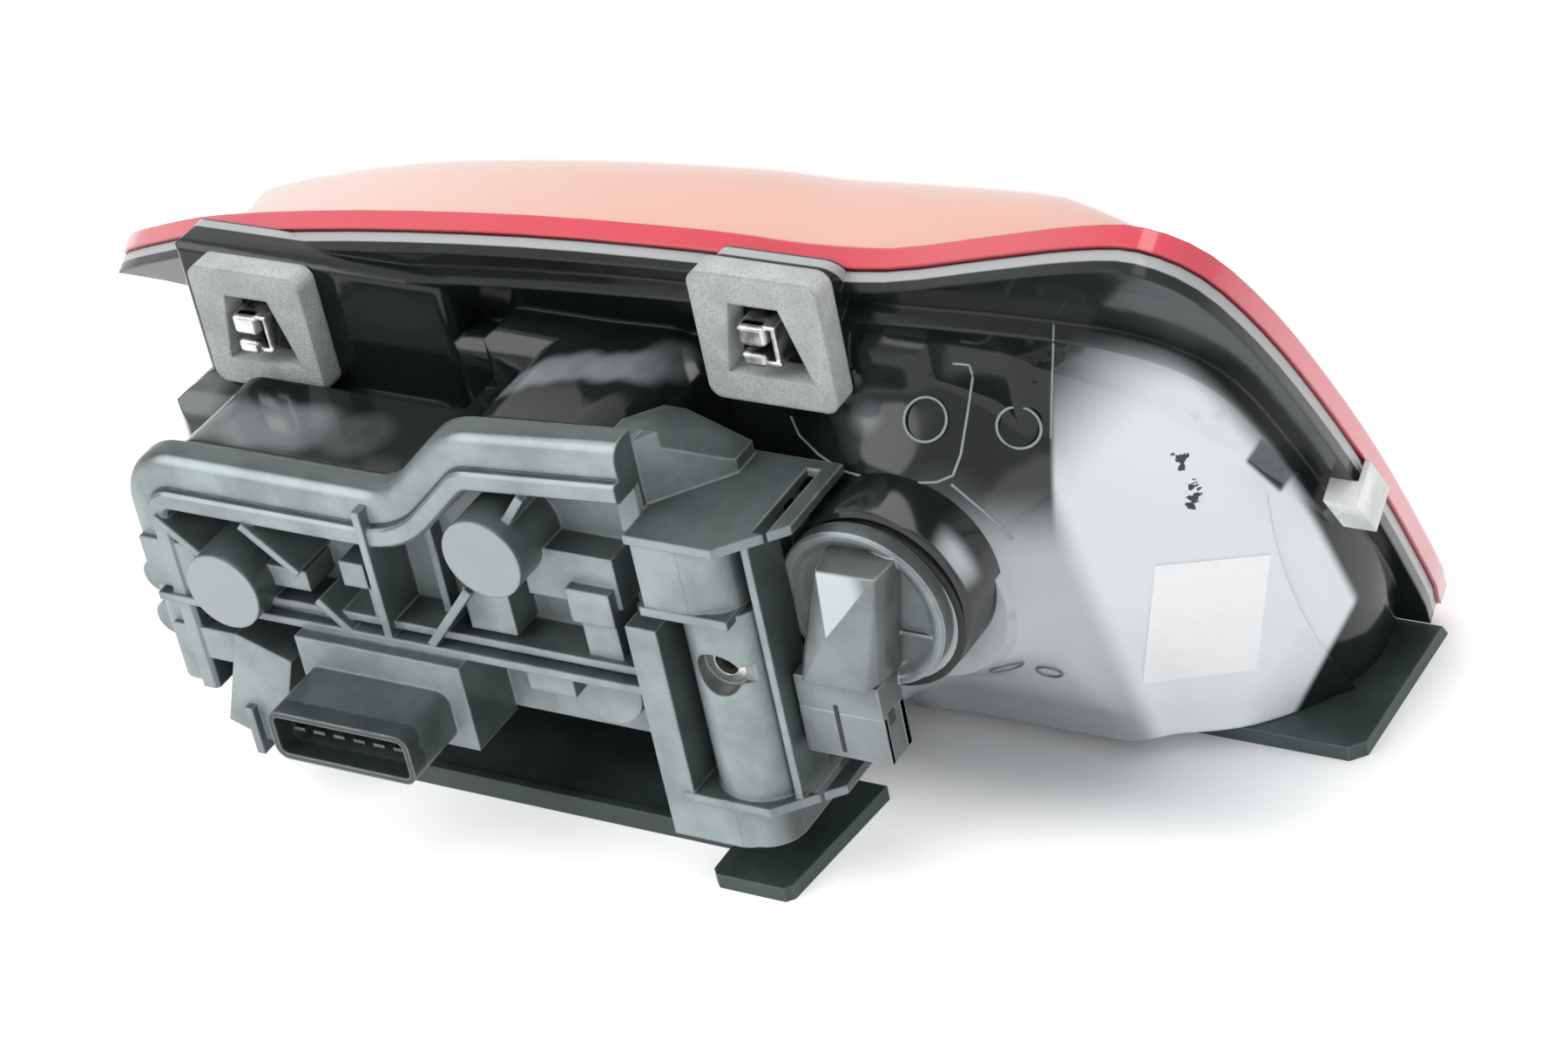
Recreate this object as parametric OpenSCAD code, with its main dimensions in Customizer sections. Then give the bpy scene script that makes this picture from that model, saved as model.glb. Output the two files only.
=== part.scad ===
// Rear lamp cluster for a car: red lens, glossy black housing, matte bulb carrier,
// eighth-turn bulb holder, two zinc spring clips with foam pads and a lower skirt.
// Millimetres. X runs along the lamp, +Y points to the lens, +Z is up as it stands.
// The origin is the mouth of the threaded fixing insert in the latch column.

/* [Fixing column] */
// Position of the fixing bore along the lamp, from the left boss
column_x = 116.5; // [110:0.5:122]
// Height of the fixing bore above the left boss
column_z = -1; // [-6:0.5:4]
// Radius of the upright column
column_radius = 10.5; // [9:0.5:12]
// Depth at which the column's front stands
column_front = 5; // [4:0.5:8]
// Access hole in the column's front
access_bore = 10; // [9:0.5:11]
// Outside of the threaded insert
insert_outside = 9; // [8:0.5:9.5]
// Bore of the threaded insert
insert_bore = 5.2; // [4:0.1:6.2]
// Depth at which the insert's mouth lies
insert_y = 9; // [8:0.5:12]
// Length of the insert
insert_length = 16; // [10:1:20]

/* [Bulb carrier] */
// Left end of the carrier
carrier_left = -26.5; // [-30:0.5:-24]
// Top of the left cell
left_top = 26.5; // [24:0.5:30]
// Bottom of the carrier
carrier_bottom = -32; // [-36:0.5:-28]
// Radius of the carrier's upper corners
corner_radius = 14; // [13:0.5:18]
// Straight length of the left cell's top
left_run = 48.5; // [40:0.5:56]
// Length of the slope between the cells
slope_run = 14.5; // [8:0.5:20]
// Straight length of the right cell's top
right_run = 38; // [32:0.5:44]
// Angle of the right cell's top
top_angle = 5; // [3:1:8]
// Depth of the carrier's back face
carrier_back = 18; // [16:0.5:20]
// Height of the rounded rim above the back face
rim_height = 11; // [8:0.5:13]
// Width of the rounded rim
rim_width = 7.5; // [6:0.5:9]
// Width of the inner lip
lip_width = 4.5; // [3:0.5:6]
// Height of the inner lip above the back face
lip_height = 13; // [11:0.5:14]
// Thickness of the carrier floor
floor_thickness = 2.5; // [2:0.1:3.5]
// Thickness of the ribs
rib_thickness = 1.8; // [1.4:0.1:2.6]
// Height of the bottom rib
bottom_rib_z = -8; // [-12:0.5:-6]
// Radius of the bulb bosses
boss_radius = 9; // [8:0.25:10]
// Position of the centre boss
boss_centre = [70.2, 21.4]; // [0:0.1:100]
// Position of the lower boss
boss_lower = [84, -14.6]; // [-30:0.1:100]

/* [Connector shroud] */
// Left side of the shroud's mouth
shroud_left = 16.5; // [12:0.5:20]
// Width of the shroud
shroud_width = 35; // [30:0.5:38]
// Height of the shroud
shroud_height = 12; // [10:0.5:14]
// Bottom of the shroud
shroud_bottom = -28; // [-30:0.5:-26]
// How far the shroud stands out of its block
shroud_length = 15; // [12:0.5:22]
// Wall of the shroud
shroud_wall = 1.3; // [1:0.1:2]
// Number of blades
blade_count = 6; // [4:1:8]
// Width of a blade
blade_width = 2.8; // [2:0.1:3.2]
// Thickness of a blade
blade_thickness = 0.8; // [0.6:0.1:1.2]

/* [Latch plates] */
// Left side of the plates
plate_left = 103; // [100:0.5:106]
// Right side of the plates
plate_right = 127.7; // [126:0.1:128]
// Outer edge past the slot
plate_outer = 134.1; // [132:0.1:135]
// Top of the upper plate
knee_top = 31; // [29:0.5:33]
// Top of the second plate
second_top = 14; // [12:0.5:16]
// Top of the lower plate
lower_top = -32; // [-34:0.5:-30]
// Thickness of the plates
plate_thickness = 2; // [1.6:0.1:3]
// Depth where the column group meets the housing
group_back = 36; // [34:0.5:38]

/* [Turn socket] */
// Centre of the turn socket
socket_centre = [144, 8]; // [0:0.5:150]
// Radius of the socket's ring
socket_ring = 19.5; // [18:0.25:21]
// Depth of the ring's front
socket_front = 20; // [19:0.5:22]
// Thickness of the ring
socket_plate = 3.5; // [3:0.25:5]
// Radius of the housing's collar
collar_radius = 17.5; // [16:0.25:18]
// Bore of the collar
collar_bore = 14; // [12:0.25:15]
// Radial gap between socket and collar
socket_gap = 0.3; // [0.2:0.05:0.6]

/* [Lens and rim] */
// Backward lean of the lens plane
lens_lean = 32.4; // [28:0.2:36]
// Depth of the lens plane at the height of the left boss
lens_depth = 93; // [90:0.5:98]
// Pointed inboard tip along the lamp
tip_x = -76.5; // [-84:0.5:-70]
// Right end of the lens
right_x = 221; // [214:0.5:228]
// Height of the upper right corner along the lens
peak_v = 106; // [100:0.5:112]
// Bottom edge along the lens
bottom_v = -62; // [-64:0.5:-58]
// Thickness of the lens rim
rim_thick = 4.2; // [3:0.1:6]
// Thickness of the housing flange
flange_thick = 4.8; // [3.5:0.1:6]
// Rise of the lens dome over its rim
dome_rise = 31; // [24:0.5:36]
// Wall of the lens
lens_wall = 2.6; // [2:0.1:3.5]

/* [Housing] */
// Wall of the housing
wall = 2.6; // [2:0.1:3.5]
// Depth of the tub behind the flange
tub_depth = 9; // [7:0.5:14]
// Inset of the tub inside the flange
tub_inset = 7; // [5:0.5:9]
// Straight length of the seat's top on the right
seat_run = 19; // [18.5:0.1:19.4]
// Width of the seat under the carrier seal
seat_width = 3.2; // [2.6:0.1:4]
// Thickness of the carrier seal
seal_thick = 2; // [1.5:0.1:3]
// Depth at which the seat steps in behind the left pad
seat_back = 44; // [40:0.5:46]
// Radii of the big bowl
bowl_radii = [54, 44, 110]; // [30:1:120]
// Centre of the big bowl
bowl_centre = [161, 99, 6]; // [0:1:200]

/* [Clips and pads] */
// Side of a foam pad
pad_side = 29; // [26:0.5:32]
// Thickness of a foam pad
pad_thick = 6; // [4:0.5:9]
// Centre of the left clip
left_clip = [-14.5, 32]; // [-20:0.5:60]
// Depth of the left pad's front
left_clip_y = 47; // [44:0.5:50]
// Centre of the right clip
right_clip = [120, 55.5]; // [40:0.5:130]
// Depth of the right pad's front
right_clip_y = 38; // [36:0.5:42]
// Thickness of the clip's metal
clip_metal = 1; // [0.8:0.1:1.5]
// Width of the clip
clip_width = 8; // [6:0.5:9]
// Height of the clip
clip_height = 9; // [8:0.5:11]
// Depth of the clip in its slot
clip_depth = 8; // [6:0.5:9]
// Gap between the clip and its slot
clip_gap = 0.3; // [0.2:0.05:0.5]

/* [Skirt and label] */
// Height of the surface the lamp stands on
ground = -58; // [-60:0.5:-56]
// Thickness of the skirt
skirt_thick = 3.5; // [2.5:0.1:5]
// Width of the blank label
label_side = 22.5; // [18:0.5:26]
// Height of the blank label
label_height = 34; // [28:0.5:38]
// Centre of the blank label
label_centre = [189, 67, -19]; // [-30:1:200]

/* [Hidden] */
$fn = 48;
eps = 0.01;

// The whole lamp is drawn from the left boss and moved so the fixing bore is the origin.
module seat() {
  translate([-column_x, -insert_y, -column_z]) children();
}

// Draws seen from behind the lamp: x along it, y up, extruded towards the viewer from depth y.
module front(y) {
  translate([0, y, 0]) rotate([90, 0, 0]) children();
}

// The leaning frame of the lens: x along the lamp, y up the lens, z out of its back.
module face() {
  translate([0, lens_depth, 0]) rotate([90 + lens_lean, 0, 0]) children();
}

// A path in steps: each a straight length, then a turn and its radius.
// Points of the path, moved d to its left.
function walk(s, x, y, a, d, i = 0) = i >= len(s) ? [[x - d * sin(a), y + d * cos(a)]] :
  let (l = s[i][0], t = s[i][1], r = s[i][2], g = sign(t),
    x1 = x + l * cos(a), y1 = y + l * sin(a),
    cx = x1 - g * r * sin(a), cy = y1 + g * r * cos(a),
    n = max(2, round(abs(t) / 9)), b1 = a + t)
  concat(
    [[x - d * sin(a), y + d * cos(a)]],
    [for (k = [0:n - 1]) let (b = a + t * k / n) [cx + g * r * sin(b) - d * sin(b), cy - g * r * cos(b) + d * cos(b)]],
    walk(s, cx + g * r * sin(b1), cy - g * r * cos(b1), b1, d, i + 1));

// Solid made by carrying a closed profile (offset, height) along the path.
module sweep(s, x, y, a, profile) {
  m = len(walk(s, x, y, a, 0));
  n = len(profile);
  pts = [for (q = profile) each [for (w = walk(s, x, y, a, q[0])) [w[0], w[1], q[1]]]];
  side = [for (k = [0:n - 1], i = [0:m - 2]) let (l = (k + 1) % n) each [
    [k * m + i, l * m + i + 1, k * m + i + 1], [k * m + i, l * m + i, l * m + i + 1]]];
  polyhedron(pts, concat(side, [[for (k = [n - 1:-1:0]) k * m]], [[for (k = [0:n - 1]) k * m + m - 1]]));
}

function carrier_steps(run) = [
  [left_top - carrier_bottom - corner_radius, -90, corner_radius],
  [left_run, 45, 14],
  [slope_run, top_angle - 45, 16],
  [run, -90 - top_angle, corner_radius]];

function carrier_outline(run, d) = let (p = walk(carrier_steps(run), carrier_left, carrier_bottom, 90, d))
  concat([[carrier_left - d, carrier_bottom - d]], [for (i = [1:len(p) - 1]) p[i]],
    [[end_x(run) + d, carrier_bottom - d]]);

function end_x(run) = carrier_left + corner_radius + left_run + 14 * sin(45) + slope_run * cos(45)
  + 16 * (sin(45) - sin(top_angle)) + run * cos(top_angle) + corner_radius * (1 + sin(top_angle));
// Rectangle with rounded corners, for boxes with true cylindrical edges.
module round_rect(x1, y1, x2, y2, r) {
  translate([x1 + r, y1]) square([x2 - x1 - 2 * r, y2 - y1]);
  translate([x1, y1 + r]) square([x2 - x1, y2 - y1 - 2 * r]);
  for (x = [x1 + r, x2 - r], y = [y1 + r, y2 - r])
    translate([x, y]) circle(r);
}

// Box rounded on its front and sides, open-ended towards the lens.
module pod(x1, x2, y1, z1, z2, r) {
  intersection() {
    front(160) linear_extrude(160 - y1) round_rect(x1, z1, x2, z2, r);
    translate([0, 0, z1]) linear_extrude(z2 - z1) round_rect(x1, y1, x2, 180, r);
    translate([x1, 0, 0]) rotate([90, 0, 90]) linear_extrude(x2 - x1) round_rect(y1, z1, 180, z2, r);
  }
}

// Lens outline in the leaning frame: a closed smooth curve through a few key points.
function key_points() = let (r = right_x, p = peak_v, b = bottom_v, t = tip_x) [
  [t, 28], [t + 18, 39], [t + 41, 49.5], [7, 62.5], [56, 72.8], [100, 77.6], [122, 77.4],
  [143, p - 25], [170, p - 12.5], [192, p - 2.5], [r - 15, p + 0.5], [r - 5, p - 8],
  [r - 0.5, p - 30], [r + 0.5, p - 60], [r - 0.5, p - 95], [r - 4, b + 32],
  [r - 8, b + 4], [r - 16, b], [150, b], [80, b], [10, b], [-26, b + 3],
  [-38, b + 16], [-43, b + 44], [-45, 12], [-50, 23], [t + 14, 26.5]];

function spline(a, b, c, d, t) = 0.5 * ((2 * b) + (c - a) * t + (2 * a - 5 * b + 4 * c - d) * t * t
  + (3 * b - a - 3 * c + d) * t * t * t);

function smooth(k) = let (m = len(k), q = 3)
  [for (i = [0:m - 1], j = [0:q - 1]) spline(k[(i + m - 1) % m], k[i], k[(i + 1) % m], k[(i + 2) % m], j / q)];

function outline() = smooth(key_points());

function dome() = smooth(dome_points());

// Moves each outline point inwards by d.
function inset(p, d) = let (m = len(p))
  [for (i = [0:m - 1]) let (a = p[(i + m - 1) % m], b = p[(i + 1) % m], v = b - a, l = norm(v))
    p[i] + d * [v[1], -v[0]] / l];

// The dome leaves out the flat pointed tip and runs smoothly under the wave of the rim.
function dome_points() = let (r = right_x, b = bottom_v, t = tip_x) [
  [t + 26, 24], [t + 27, 32], [t + 41, 43], [7, 59.5], [56, 70.5], [100, 76.2], [122, 76.4],
  [143, 79.2], [167, 82], [187, 83], [r - 21, 80.5], [r - 12, 74],
  [r - 6.5, 62], [r - 5, 40], [r - 5.5, 10], [r - 8, b + 34],
  [r - 12, b + 13], [r - 21, b + 5], [150, b + 3.5], [80, b + 3.5], [10, b + 3.5], [-24, b + 6.5],
  [-35, b + 18], [-40, b + 45], [-42, 3], [-45, 11], [t + 27.5, 18]];

lens_mid = [100, 14];
rings = 9;

// Steep on the upper side, gentle at the right end.
function steep(q) = let (a = atan2(q[1] - lens_mid[1], q[0] - lens_mid[0]))
  a < -70 || a > 40 ? 0.33 : a < 8 ? 0.95 : 0.95 - 0.62 * (a - 8) / 32;

function ring(p, t, base, rise, e) = [for (q = p) let (s = steep(q))
  [lens_mid[0] + (q[0] - lens_mid[0]) * (1 - t), lens_mid[1] + (q[1] - lens_mid[1]) * (1 - t),
    -base - rise * pow(sin(90 * t), s + e)]];

function flat(p, z) = [for (q = p) [q[0], q[1], z]];

module lens_shell() {
  o = outline();
  m = len(o);
  d = dome();
  g = inset(dome(), lens_wall);
  ts = [for (k = [1:rings]) pow(k / (rings + 1), 1.7)];
  shell = concat(
    [flat(o, 0)], [flat(o, -rim_thick)], [flat(d, -rim_thick)],
    [for (t = ts) ring(d, t, rim_thick, dome_rise, 0)],
    [for (k = [rings - 1:-1:0]) ring(g, ts[k], rim_thick - lens_wall, dome_rise, 0)],
    [flat(g, 0)]);
  n = len(shell);
  // the two caps close the dome's top at the middle
  outer_top = len(shell) * m;
  inner_top = outer_top + 1;
  last_outer = 2 + rings;
  pts = concat([for (r = shell, q = r) q],
    [[lens_mid[0], lens_mid[1], -rim_thick - dome_rise]],
    [[lens_mid[0], lens_mid[1], -rim_thick + lens_wall - dome_rise]]);
  skin = [for (r = [0:n - 1], i = [0:m - 1]) if (r != last_outer)
    let (s = (r + 1) % n, j = (i + 1) % m) each [
      [r * m + i, r * m + j, s * m + j], [r * m + i, s * m + j, s * m + i]]];
  caps = [for (i = [0:m - 1]) let (j = (i + 1) % m) each [
    [last_outer * m + i, last_outer * m + j, outer_top],
    [inner_top, (last_outer + 1) * m + j, (last_outer + 1) * m + i]]];
  polyhedron(pts, concat(skin, caps));
}

module lens() {
  color([0.75, 0.05, 0.08]) seat() face() lens_shell();
}

// Housing: the big bowl at the right.
module bowl(d) {
  intersection() {
    translate(bowl_centre) rotate([13, 0, 0]) scale([bowl_radii[0] - d, bowl_radii[1] - d, bowl_radii[2] - d])
      sphere(1);
    translate([0, 0, ground + skirt_thick + d]) cube([240, 200, 170]);
  }
}

// A rounded chamber whose front edges are true cylinders; hulled, since it is convex.
module chamber(x1, x2, y1, z1, z2, r, d) {
  hull() pod(x1 + d, x2 - d, y1 + d, z1 + d, z2 - d, r - d);
}

module pods(d) {
  // left chamber, its neighbour, middle chamber and the wall beside it
  chamber(-44, 36, 40, -46, left_clip[1] - pad_side / 2 - 1, 14, d);
  chamber(-38, 34, left_clip_y + pad_thick, -46, left_clip[1] + pad_side / 2 + 1, 4, d);
  chamber(30, 48, 52, -46, 34, 6, d);
  chamber(43, 100, 44, -46, 42, 9, d);
  chamber(94, 124, 50, -46, 48, 6, d);
  // upper pocket and the cheek beside the bowl
  chamber(113, 155, 46, 18, 58, 11, d);
  chamber(138, 171.5, 48, -20, 62, 5, d);
  // cone behind the turn socket
  hull() {
    front(group_back + d) translate([socket_centre[0] + 2, socket_centre[1] - 4]) cylinder(r = 20 - d, h = 2);
    front(70 + d) translate([socket_centre[0] - 8, socket_centre[1] - 15]) cylinder(r = 34 - d, h = 2);
  }
  // pedestal behind the latch column
  chamber(106, 127, group_back, -24, 13, 3.2, d);
  hull() bowl(d);
}

module tub(d) {
  face() translate([0, 0, -eps]) linear_extrude(tub_depth - d + eps) polygon(inset(dome(), tub_inset - 3 + d));
}

module seat_ring(d1, d2, y1, y2) {
  front(y2) linear_extrude(y2 - y1) difference() {
    polygon(carrier_outline(seat_run, -d1));
    polygon(carrier_outline(seat_run, -d2));
  }
}

// The seat and the duct behind it, lower at the left where the pad hangs in front of it.
module throat(y, d) {
  difference() {
    front(60 + d) linear_extrude(60 + d - y) polygon(carrier_outline(seat_run, -4 - d));
    translate([-60, seat_back - d, left_clip[1] - pad_side / 2 - 2.3 - d]) cube([98.3 + d, 60, 60]);
  }
}

module housing() {
  color([0.05, 0.06, 0.06]) seat() {
    difference() {
      union() {
        pods(0);
        tub(0);
        face() linear_extrude(flange_thick) polygon(inset(outline(), 0.9));
        // wall that carries the seal, stepping in behind the left pad
        throat(carrier_back + seal_thick, 0);
        // collar of the turn socket
        front(group_back + 4) translate(socket_centre) cylinder(r = collar_radius, h = group_back + 4 - socket_front - socket_plate);
        clip_tower(right_clip, right_clip_y + pad_thick);
      }
      pods(wall);
      tub(wall);
      // beyond the lens plane
      face() translate([-150, -160, -200]) cube([450, 340, 200]);
      // window behind the carrier
      throat(0, seat_width);
      front(60) translate(socket_centre) cylinder(r = collar_bore, h = 60);
      clip_slot(left_clip, left_clip_y + pad_thick);
      clip_slot(right_clip, right_clip_y + pad_thick);
    }
  }
}

module clip_tower(c, y) {
  front(y + 24) translate(c) translate([-pad_side / 2 + 1, -pad_side / 2 + 1]) linear_extrude(24)
    round_rect(0, 0, pad_side - 2, pad_side - 2, 3);
}

module clip_slot(c, y) {
  front(y + clip_depth + 1) translate([c[0] - clip_width / 2 - clip_gap, c[1] - clip_height / 2 - clip_gap])
    linear_extrude(clip_depth + 2) square([clip_width + 2 * clip_gap, clip_height + 2 * clip_gap]);
}

// Lower skirt the lamp stands on.
module base_skirt() {
  color([0.08, 0.09, 0.09]) seat() {
    difference() {
      union() {
        translate([0, 0, ground]) linear_extrude(skirt_thick) skirt_plan();
        // small lip along the front edge
        translate([20, 17, ground]) cube([72, 2, skirt_thick + 1.5]);
      }
      face() translate([-150, -160, -200]) cube([450, 340, 200 + flange_thick]);
    }
  }
}

module skirt_plan() {
  polygon([[20, 17], [103, 17], [103, 7], [104.5, 5.5], [120, 5.5], [121.5, 7], [125, 41], [112, 41],
    [112, 86], [160, 86], [160, 79], [211, 79], [214, 82], [214, 140], [-20, 140], [-20, 40]]);
}

module dish(c, r, y) {
  front(y) translate(c) difference() {
    cylinder(r1 = r, r2 = 13, h = 20);
    translate([0, 0, -eps]) cylinder(r1 = r - 2, r2 = 11, h = 20 + 2 * eps);
  }
}

// The sharp lower right corner is left out, where the inset edge would cross itself.
function reflector_edge() = let (p = inset(dome(), tub_inset - 3 + wall + 1)) [for (i = [0:3:len(p) - 1]) p[i]];

module reflector() {
  color([0.8, 0.8, 0.82]) seat() {
    face() translate([0, 0, 0.5]) linear_extrude(1.6) difference() {
      polygon(reflector_edge());
      translate([0, 0]) circle(18);
      translate([70, 25]) circle(18);
      translate([84, -17]) circle(15);
      translate([150, 10]) circle(20);
    }
  }
}

// Profile of the carrier's edge: inner lip, flat face, rounded outer edge, recess at the back.
function rim_profile() = let (w = rim_width + lip_width, t = rim_height) concat(
  [[-w, 0], [-w, lip_height - 0.8], [-w + 0.8, lip_height], [-rim_width - 0.6, lip_height], [-rim_width, lip_height - 0.7],
    [-rim_width, t - 0.5], [-rim_width + 0.5, t]],
  [for (k = [0:5]) [-4 + 4 * sin(18 * k), t - 4 + 4 * cos(18 * k)]],
  [[0, 4], [-3, 4], [-3, 0]]);

module rib(x1, y1, x2, y2, top = 14) {
  l = norm([x2 - x1, y2 - y1]);
  translate([x1, y1, floor_thickness]) rotate([0, 0, atan2(y2 - y1, x2 - x1)])
    translate([0, -rib_thickness / 2, 0]) cube([l, rib_thickness, top - floor_thickness]);
}

module block(x1, y1, x2, y2, z) {
  translate([x1, y1, eps]) cube([x2 - x1, y2 - y1, z]);
}

module shroud() {
  r = 3;
  front(floor_y()) translate([0, 0, 0]) {
    difference() {
      union() {
        linear_extrude(floor_y() + shroud_length)
          round_rect(shroud_left, shroud_bottom, shroud_left + shroud_width, shroud_bottom + shroud_height, r);
        translate([15, -30, 0]) cube([41, 21, floor_y() - 1]);
      }
      translate([0, 0, floor_y() + 3]) linear_extrude(shroud_length)
        round_rect(shroud_left + shroud_wall, shroud_bottom + shroud_wall, shroud_left + shroud_width - shroud_wall,
          shroud_bottom + shroud_height - shroud_wall, r - shroud_wall);
      for (i = [0:blade_count - 1])
        translate([blade_x(i) - blade_width / 2, blade_z() - blade_thickness / 2, floor_y() - 4])
          cube([blade_width, blade_thickness, 12]);
    }
  }
}

function floor_y() = carrier_back - floor_thickness;
function blade_x(i) = shroud_left + shroud_width / 2 + (i - (blade_count - 1) / 2) * 5;
function blade_z() = shroud_bottom + shroud_height / 2;

function plate_corner(outer) = outer > plate_right ?
  [[plate_right - 5, 3.5], [plate_right, 8.5], [outer, 8.5 + outer - plate_right]] : [[outer, 3.5]];

// One plate of the latch column with its front corner cut and the slot near its outer edge.
module latch_plate(top, outer) {
  translate([0, 0, top - plate_thickness]) linear_extrude(plate_thickness) difference() {
    polygon(concat([[plate_left, 3.5]], plate_corner(outer), [[outer, 36], [plate_left, 36]]));
    if (outer > plate_right + 1)
      translate([plate_right, 11]) square([3, 22]);
  }
}

module shoulder() {
  hull() {
    translate([96.8, 12, 25]) cube([5, 8, 21]);
    translate([96.8, 20, 25]) cube([5, 14, 15]);
    translate([111, 27, 25]) cube([4, 8, 9]);
  }
}

module bumper(z1, z2) {
  translate([0, 0, z1]) linear_extrude(z2 - z1) {
    translate([113, 12]) circle(8);
    translate([plate_left + 1, 4]) square([10, 24]);
    translate([plate_left + 1, 12]) square([20, 16]);
    translate([116, 13]) circle(8);
  }
}

module bulb_carrier() {
  color([0.22, 0.25, 0.25]) seat() difference() {
    union() {
      front(carrier_back) {
        linear_extrude(floor_thickness) polygon(carrier_outline(right_run, -3));
        sweep(carrier_steps(right_run), carrier_left, carrier_bottom, 90, rim_profile());
        // left cell
        rib(-17, 13, -6, 4);
        rib(6, 15, 18, 5);
        rib(6, -6, 28, -8.4, 11.2);
        rib(21, -1, 28, -8);
        rib(37.5, 24, 37.5, -9);
        rib(-22, bottom_rib_z, 104, bottom_rib_z);
        rib(-22, bottom_rib_z + 3, 104, bottom_rib_z + 3, 12);
        // right cell
        rib(80, 35, 74, 27);
        rib(61, 9, 48, -7);
        rib(48, 28, 48, -7, 6);
        block(-24, -6, -10, 6, 12.5);
        block(-22, -24, -5, -16, 12.5);
        block(7, -1, 18, 4, 11.5);
        block(28, 3, 34, 9, 12);
        block(33.5, -5, 38, 3, 11.5);
        block(73, 8, 95, 20, 9.5);
        block(84, 5, 94, 13, 12);
        block(85, -4, 93, 5, 10.5);
        block(57, -3, 68, 7, 10.5);
        block(69, -15, 80, -10, 12);
        translate([0, 0, eps]) cylinder(r = boss_radius, h = carrier_back);
        translate(boss_centre) cylinder(r = boss_radius, h = carrier_back);
        translate(boss_lower) cylinder(r = boss_radius, h = 8);
      }
      shroud();
      // column and its walls
      translate([column_x, column_front + column_radius, lower_top - 1]) cylinder(r = column_radius, h = second_top - lower_top);
      translate([column_x - column_radius, column_front + column_radius, lower_top - 1])
        cube([2 * column_radius, group_back - column_front - column_radius, second_top - lower_top]);
      translate([98, 4, -44]) cube([7, 15, 52]);
      translate([plate_right - 1.6, 8.5, lower_top]) cube([1.6, 11, knee_top - lower_top - 1]);
      latch_plate(knee_top, plate_outer);
      latch_plate(second_top, plate_right - 5);
      latch_plate(lower_top, plate_outer);
      bumper(second_top, knee_top - 1);
      bumper(lower_top - 12, lower_top - 1);
      // shoulder behind the upper plate
      shoulder();
      // rounded lever at the lower left
      translate([-12, 3, -38]) rotate([0, 20, 0]) cube([14, 12, 26]);
      translate([-5, 1, -44]) cube([2, 14, 12]);
      // lobes at the left end
      front(carrier_back) for (z = [-9, -20]) translate([carrier_left - 0.8, z, 0]) cylinder(r = 4.2, h = 7);
    }
    // fixing hole and the insert's bore
    front(insert_y) translate([column_x, column_z]) cylinder(d = access_bore, h = 20);
    front(insert_y + insert_length) translate([column_x, column_z]) cylinder(d = insert_outside, h = 40);
    front(group_back + 1) translate([column_x, column_z]) cylinder(d = insert_bore + 1.3, h = 40);
    front(insert_y - 1) translate([column_x, column_z - 2]) cube([10, 4, 20]);
    // the upper plate's face runs clear past the rim's end
    translate([0, 0, knee_top]) linear_extrude(30)
      polygon([[102.5, 0], [140, 0], [140, 40], [122, 38], [114, 27], [102.5, 14]]);
    // room for the turn socket
    front(group_back + 1) translate(socket_centre) cylinder(r = socket_ring + 1, h = group_back + 1 - socket_front + 0.5);
    // bulb sockets open to the lens side
    front(carrier_back + 1) {
      cylinder(r = 6.5, h = 9);
      translate(boss_centre) cylinder(r = 6.5, h = 9);
      translate(boss_lower) cylinder(r = 6.5, h = 6);
    }
  }
}

// Seal, bulbs and contacts.
module carrier_seal() {
  color([0.15, 0.15, 0.15]) seat() seat_ring(4.2, 3.8 + seat_width, carrier_back, carrier_back + seal_thick);
}

module cap(c, y) {
  front(carrier_back + 8) translate(c) cylinder(r = 6.4, h = carrier_back + 8 - y);
}

module glass(c) {
  front(carrier_back + 8 + 14) translate(c) cylinder(r = 8.5, h = 14);
  front(carrier_back + 8 + 14) translate(c) sphere(8.5);
}

module cap_left() { color([0.75, 0.72, 0.6]) seat() cap([0, 0], carrier_back - 8); }

module cap_centre() { color([0.75, 0.72, 0.6]) seat() cap(boss_centre, carrier_back - 8); }

module cap_lower() { color([0.75, 0.72, 0.6]) seat() cap(boss_lower, carrier_back - 5); }

module glass_left() { color([0.85, 0.88, 0.9, 0.6]) seat() glass([0, 0]); }

module glass_centre() { color([0.85, 0.88, 0.9, 0.6]) seat() glass(boss_centre); }

module glass_lower() { color([0.85, 0.88, 0.9, 0.6]) seat() glass(boss_lower); }

module contact_strip() {
  color([0.8, 0.7, 0.45]) seat() front(carrier_back + 0.6) linear_extrude(0.6) {
    difference() {
      union() {
        circle(10);
        translate([6, -6]) square([9, 4]);
        translate([11, -16]) square([4, 14]);
        translate([11, -16]) square([66, 4]);
        translate([52, -16]) square([4, 40]);
        translate([52, 20]) square([12, 4]);
        translate(boss_centre) circle(10);
        translate(boss_lower) circle(9);
      }
      circle(7);
      translate(boss_centre) circle(7);
      translate(boss_lower) circle(7);
    }
  }
}

module connector_pins() {
  color([0.8, 0.75, 0.55]) seat() front(floor_y()) for (i = [0:blade_count - 1])
    translate([blade_x(i) - blade_width / 2, blade_z() - blade_thickness / 2, floor_y() - 4])
      cube([blade_width, blade_thickness, shroud_length + 1]);
}

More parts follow.
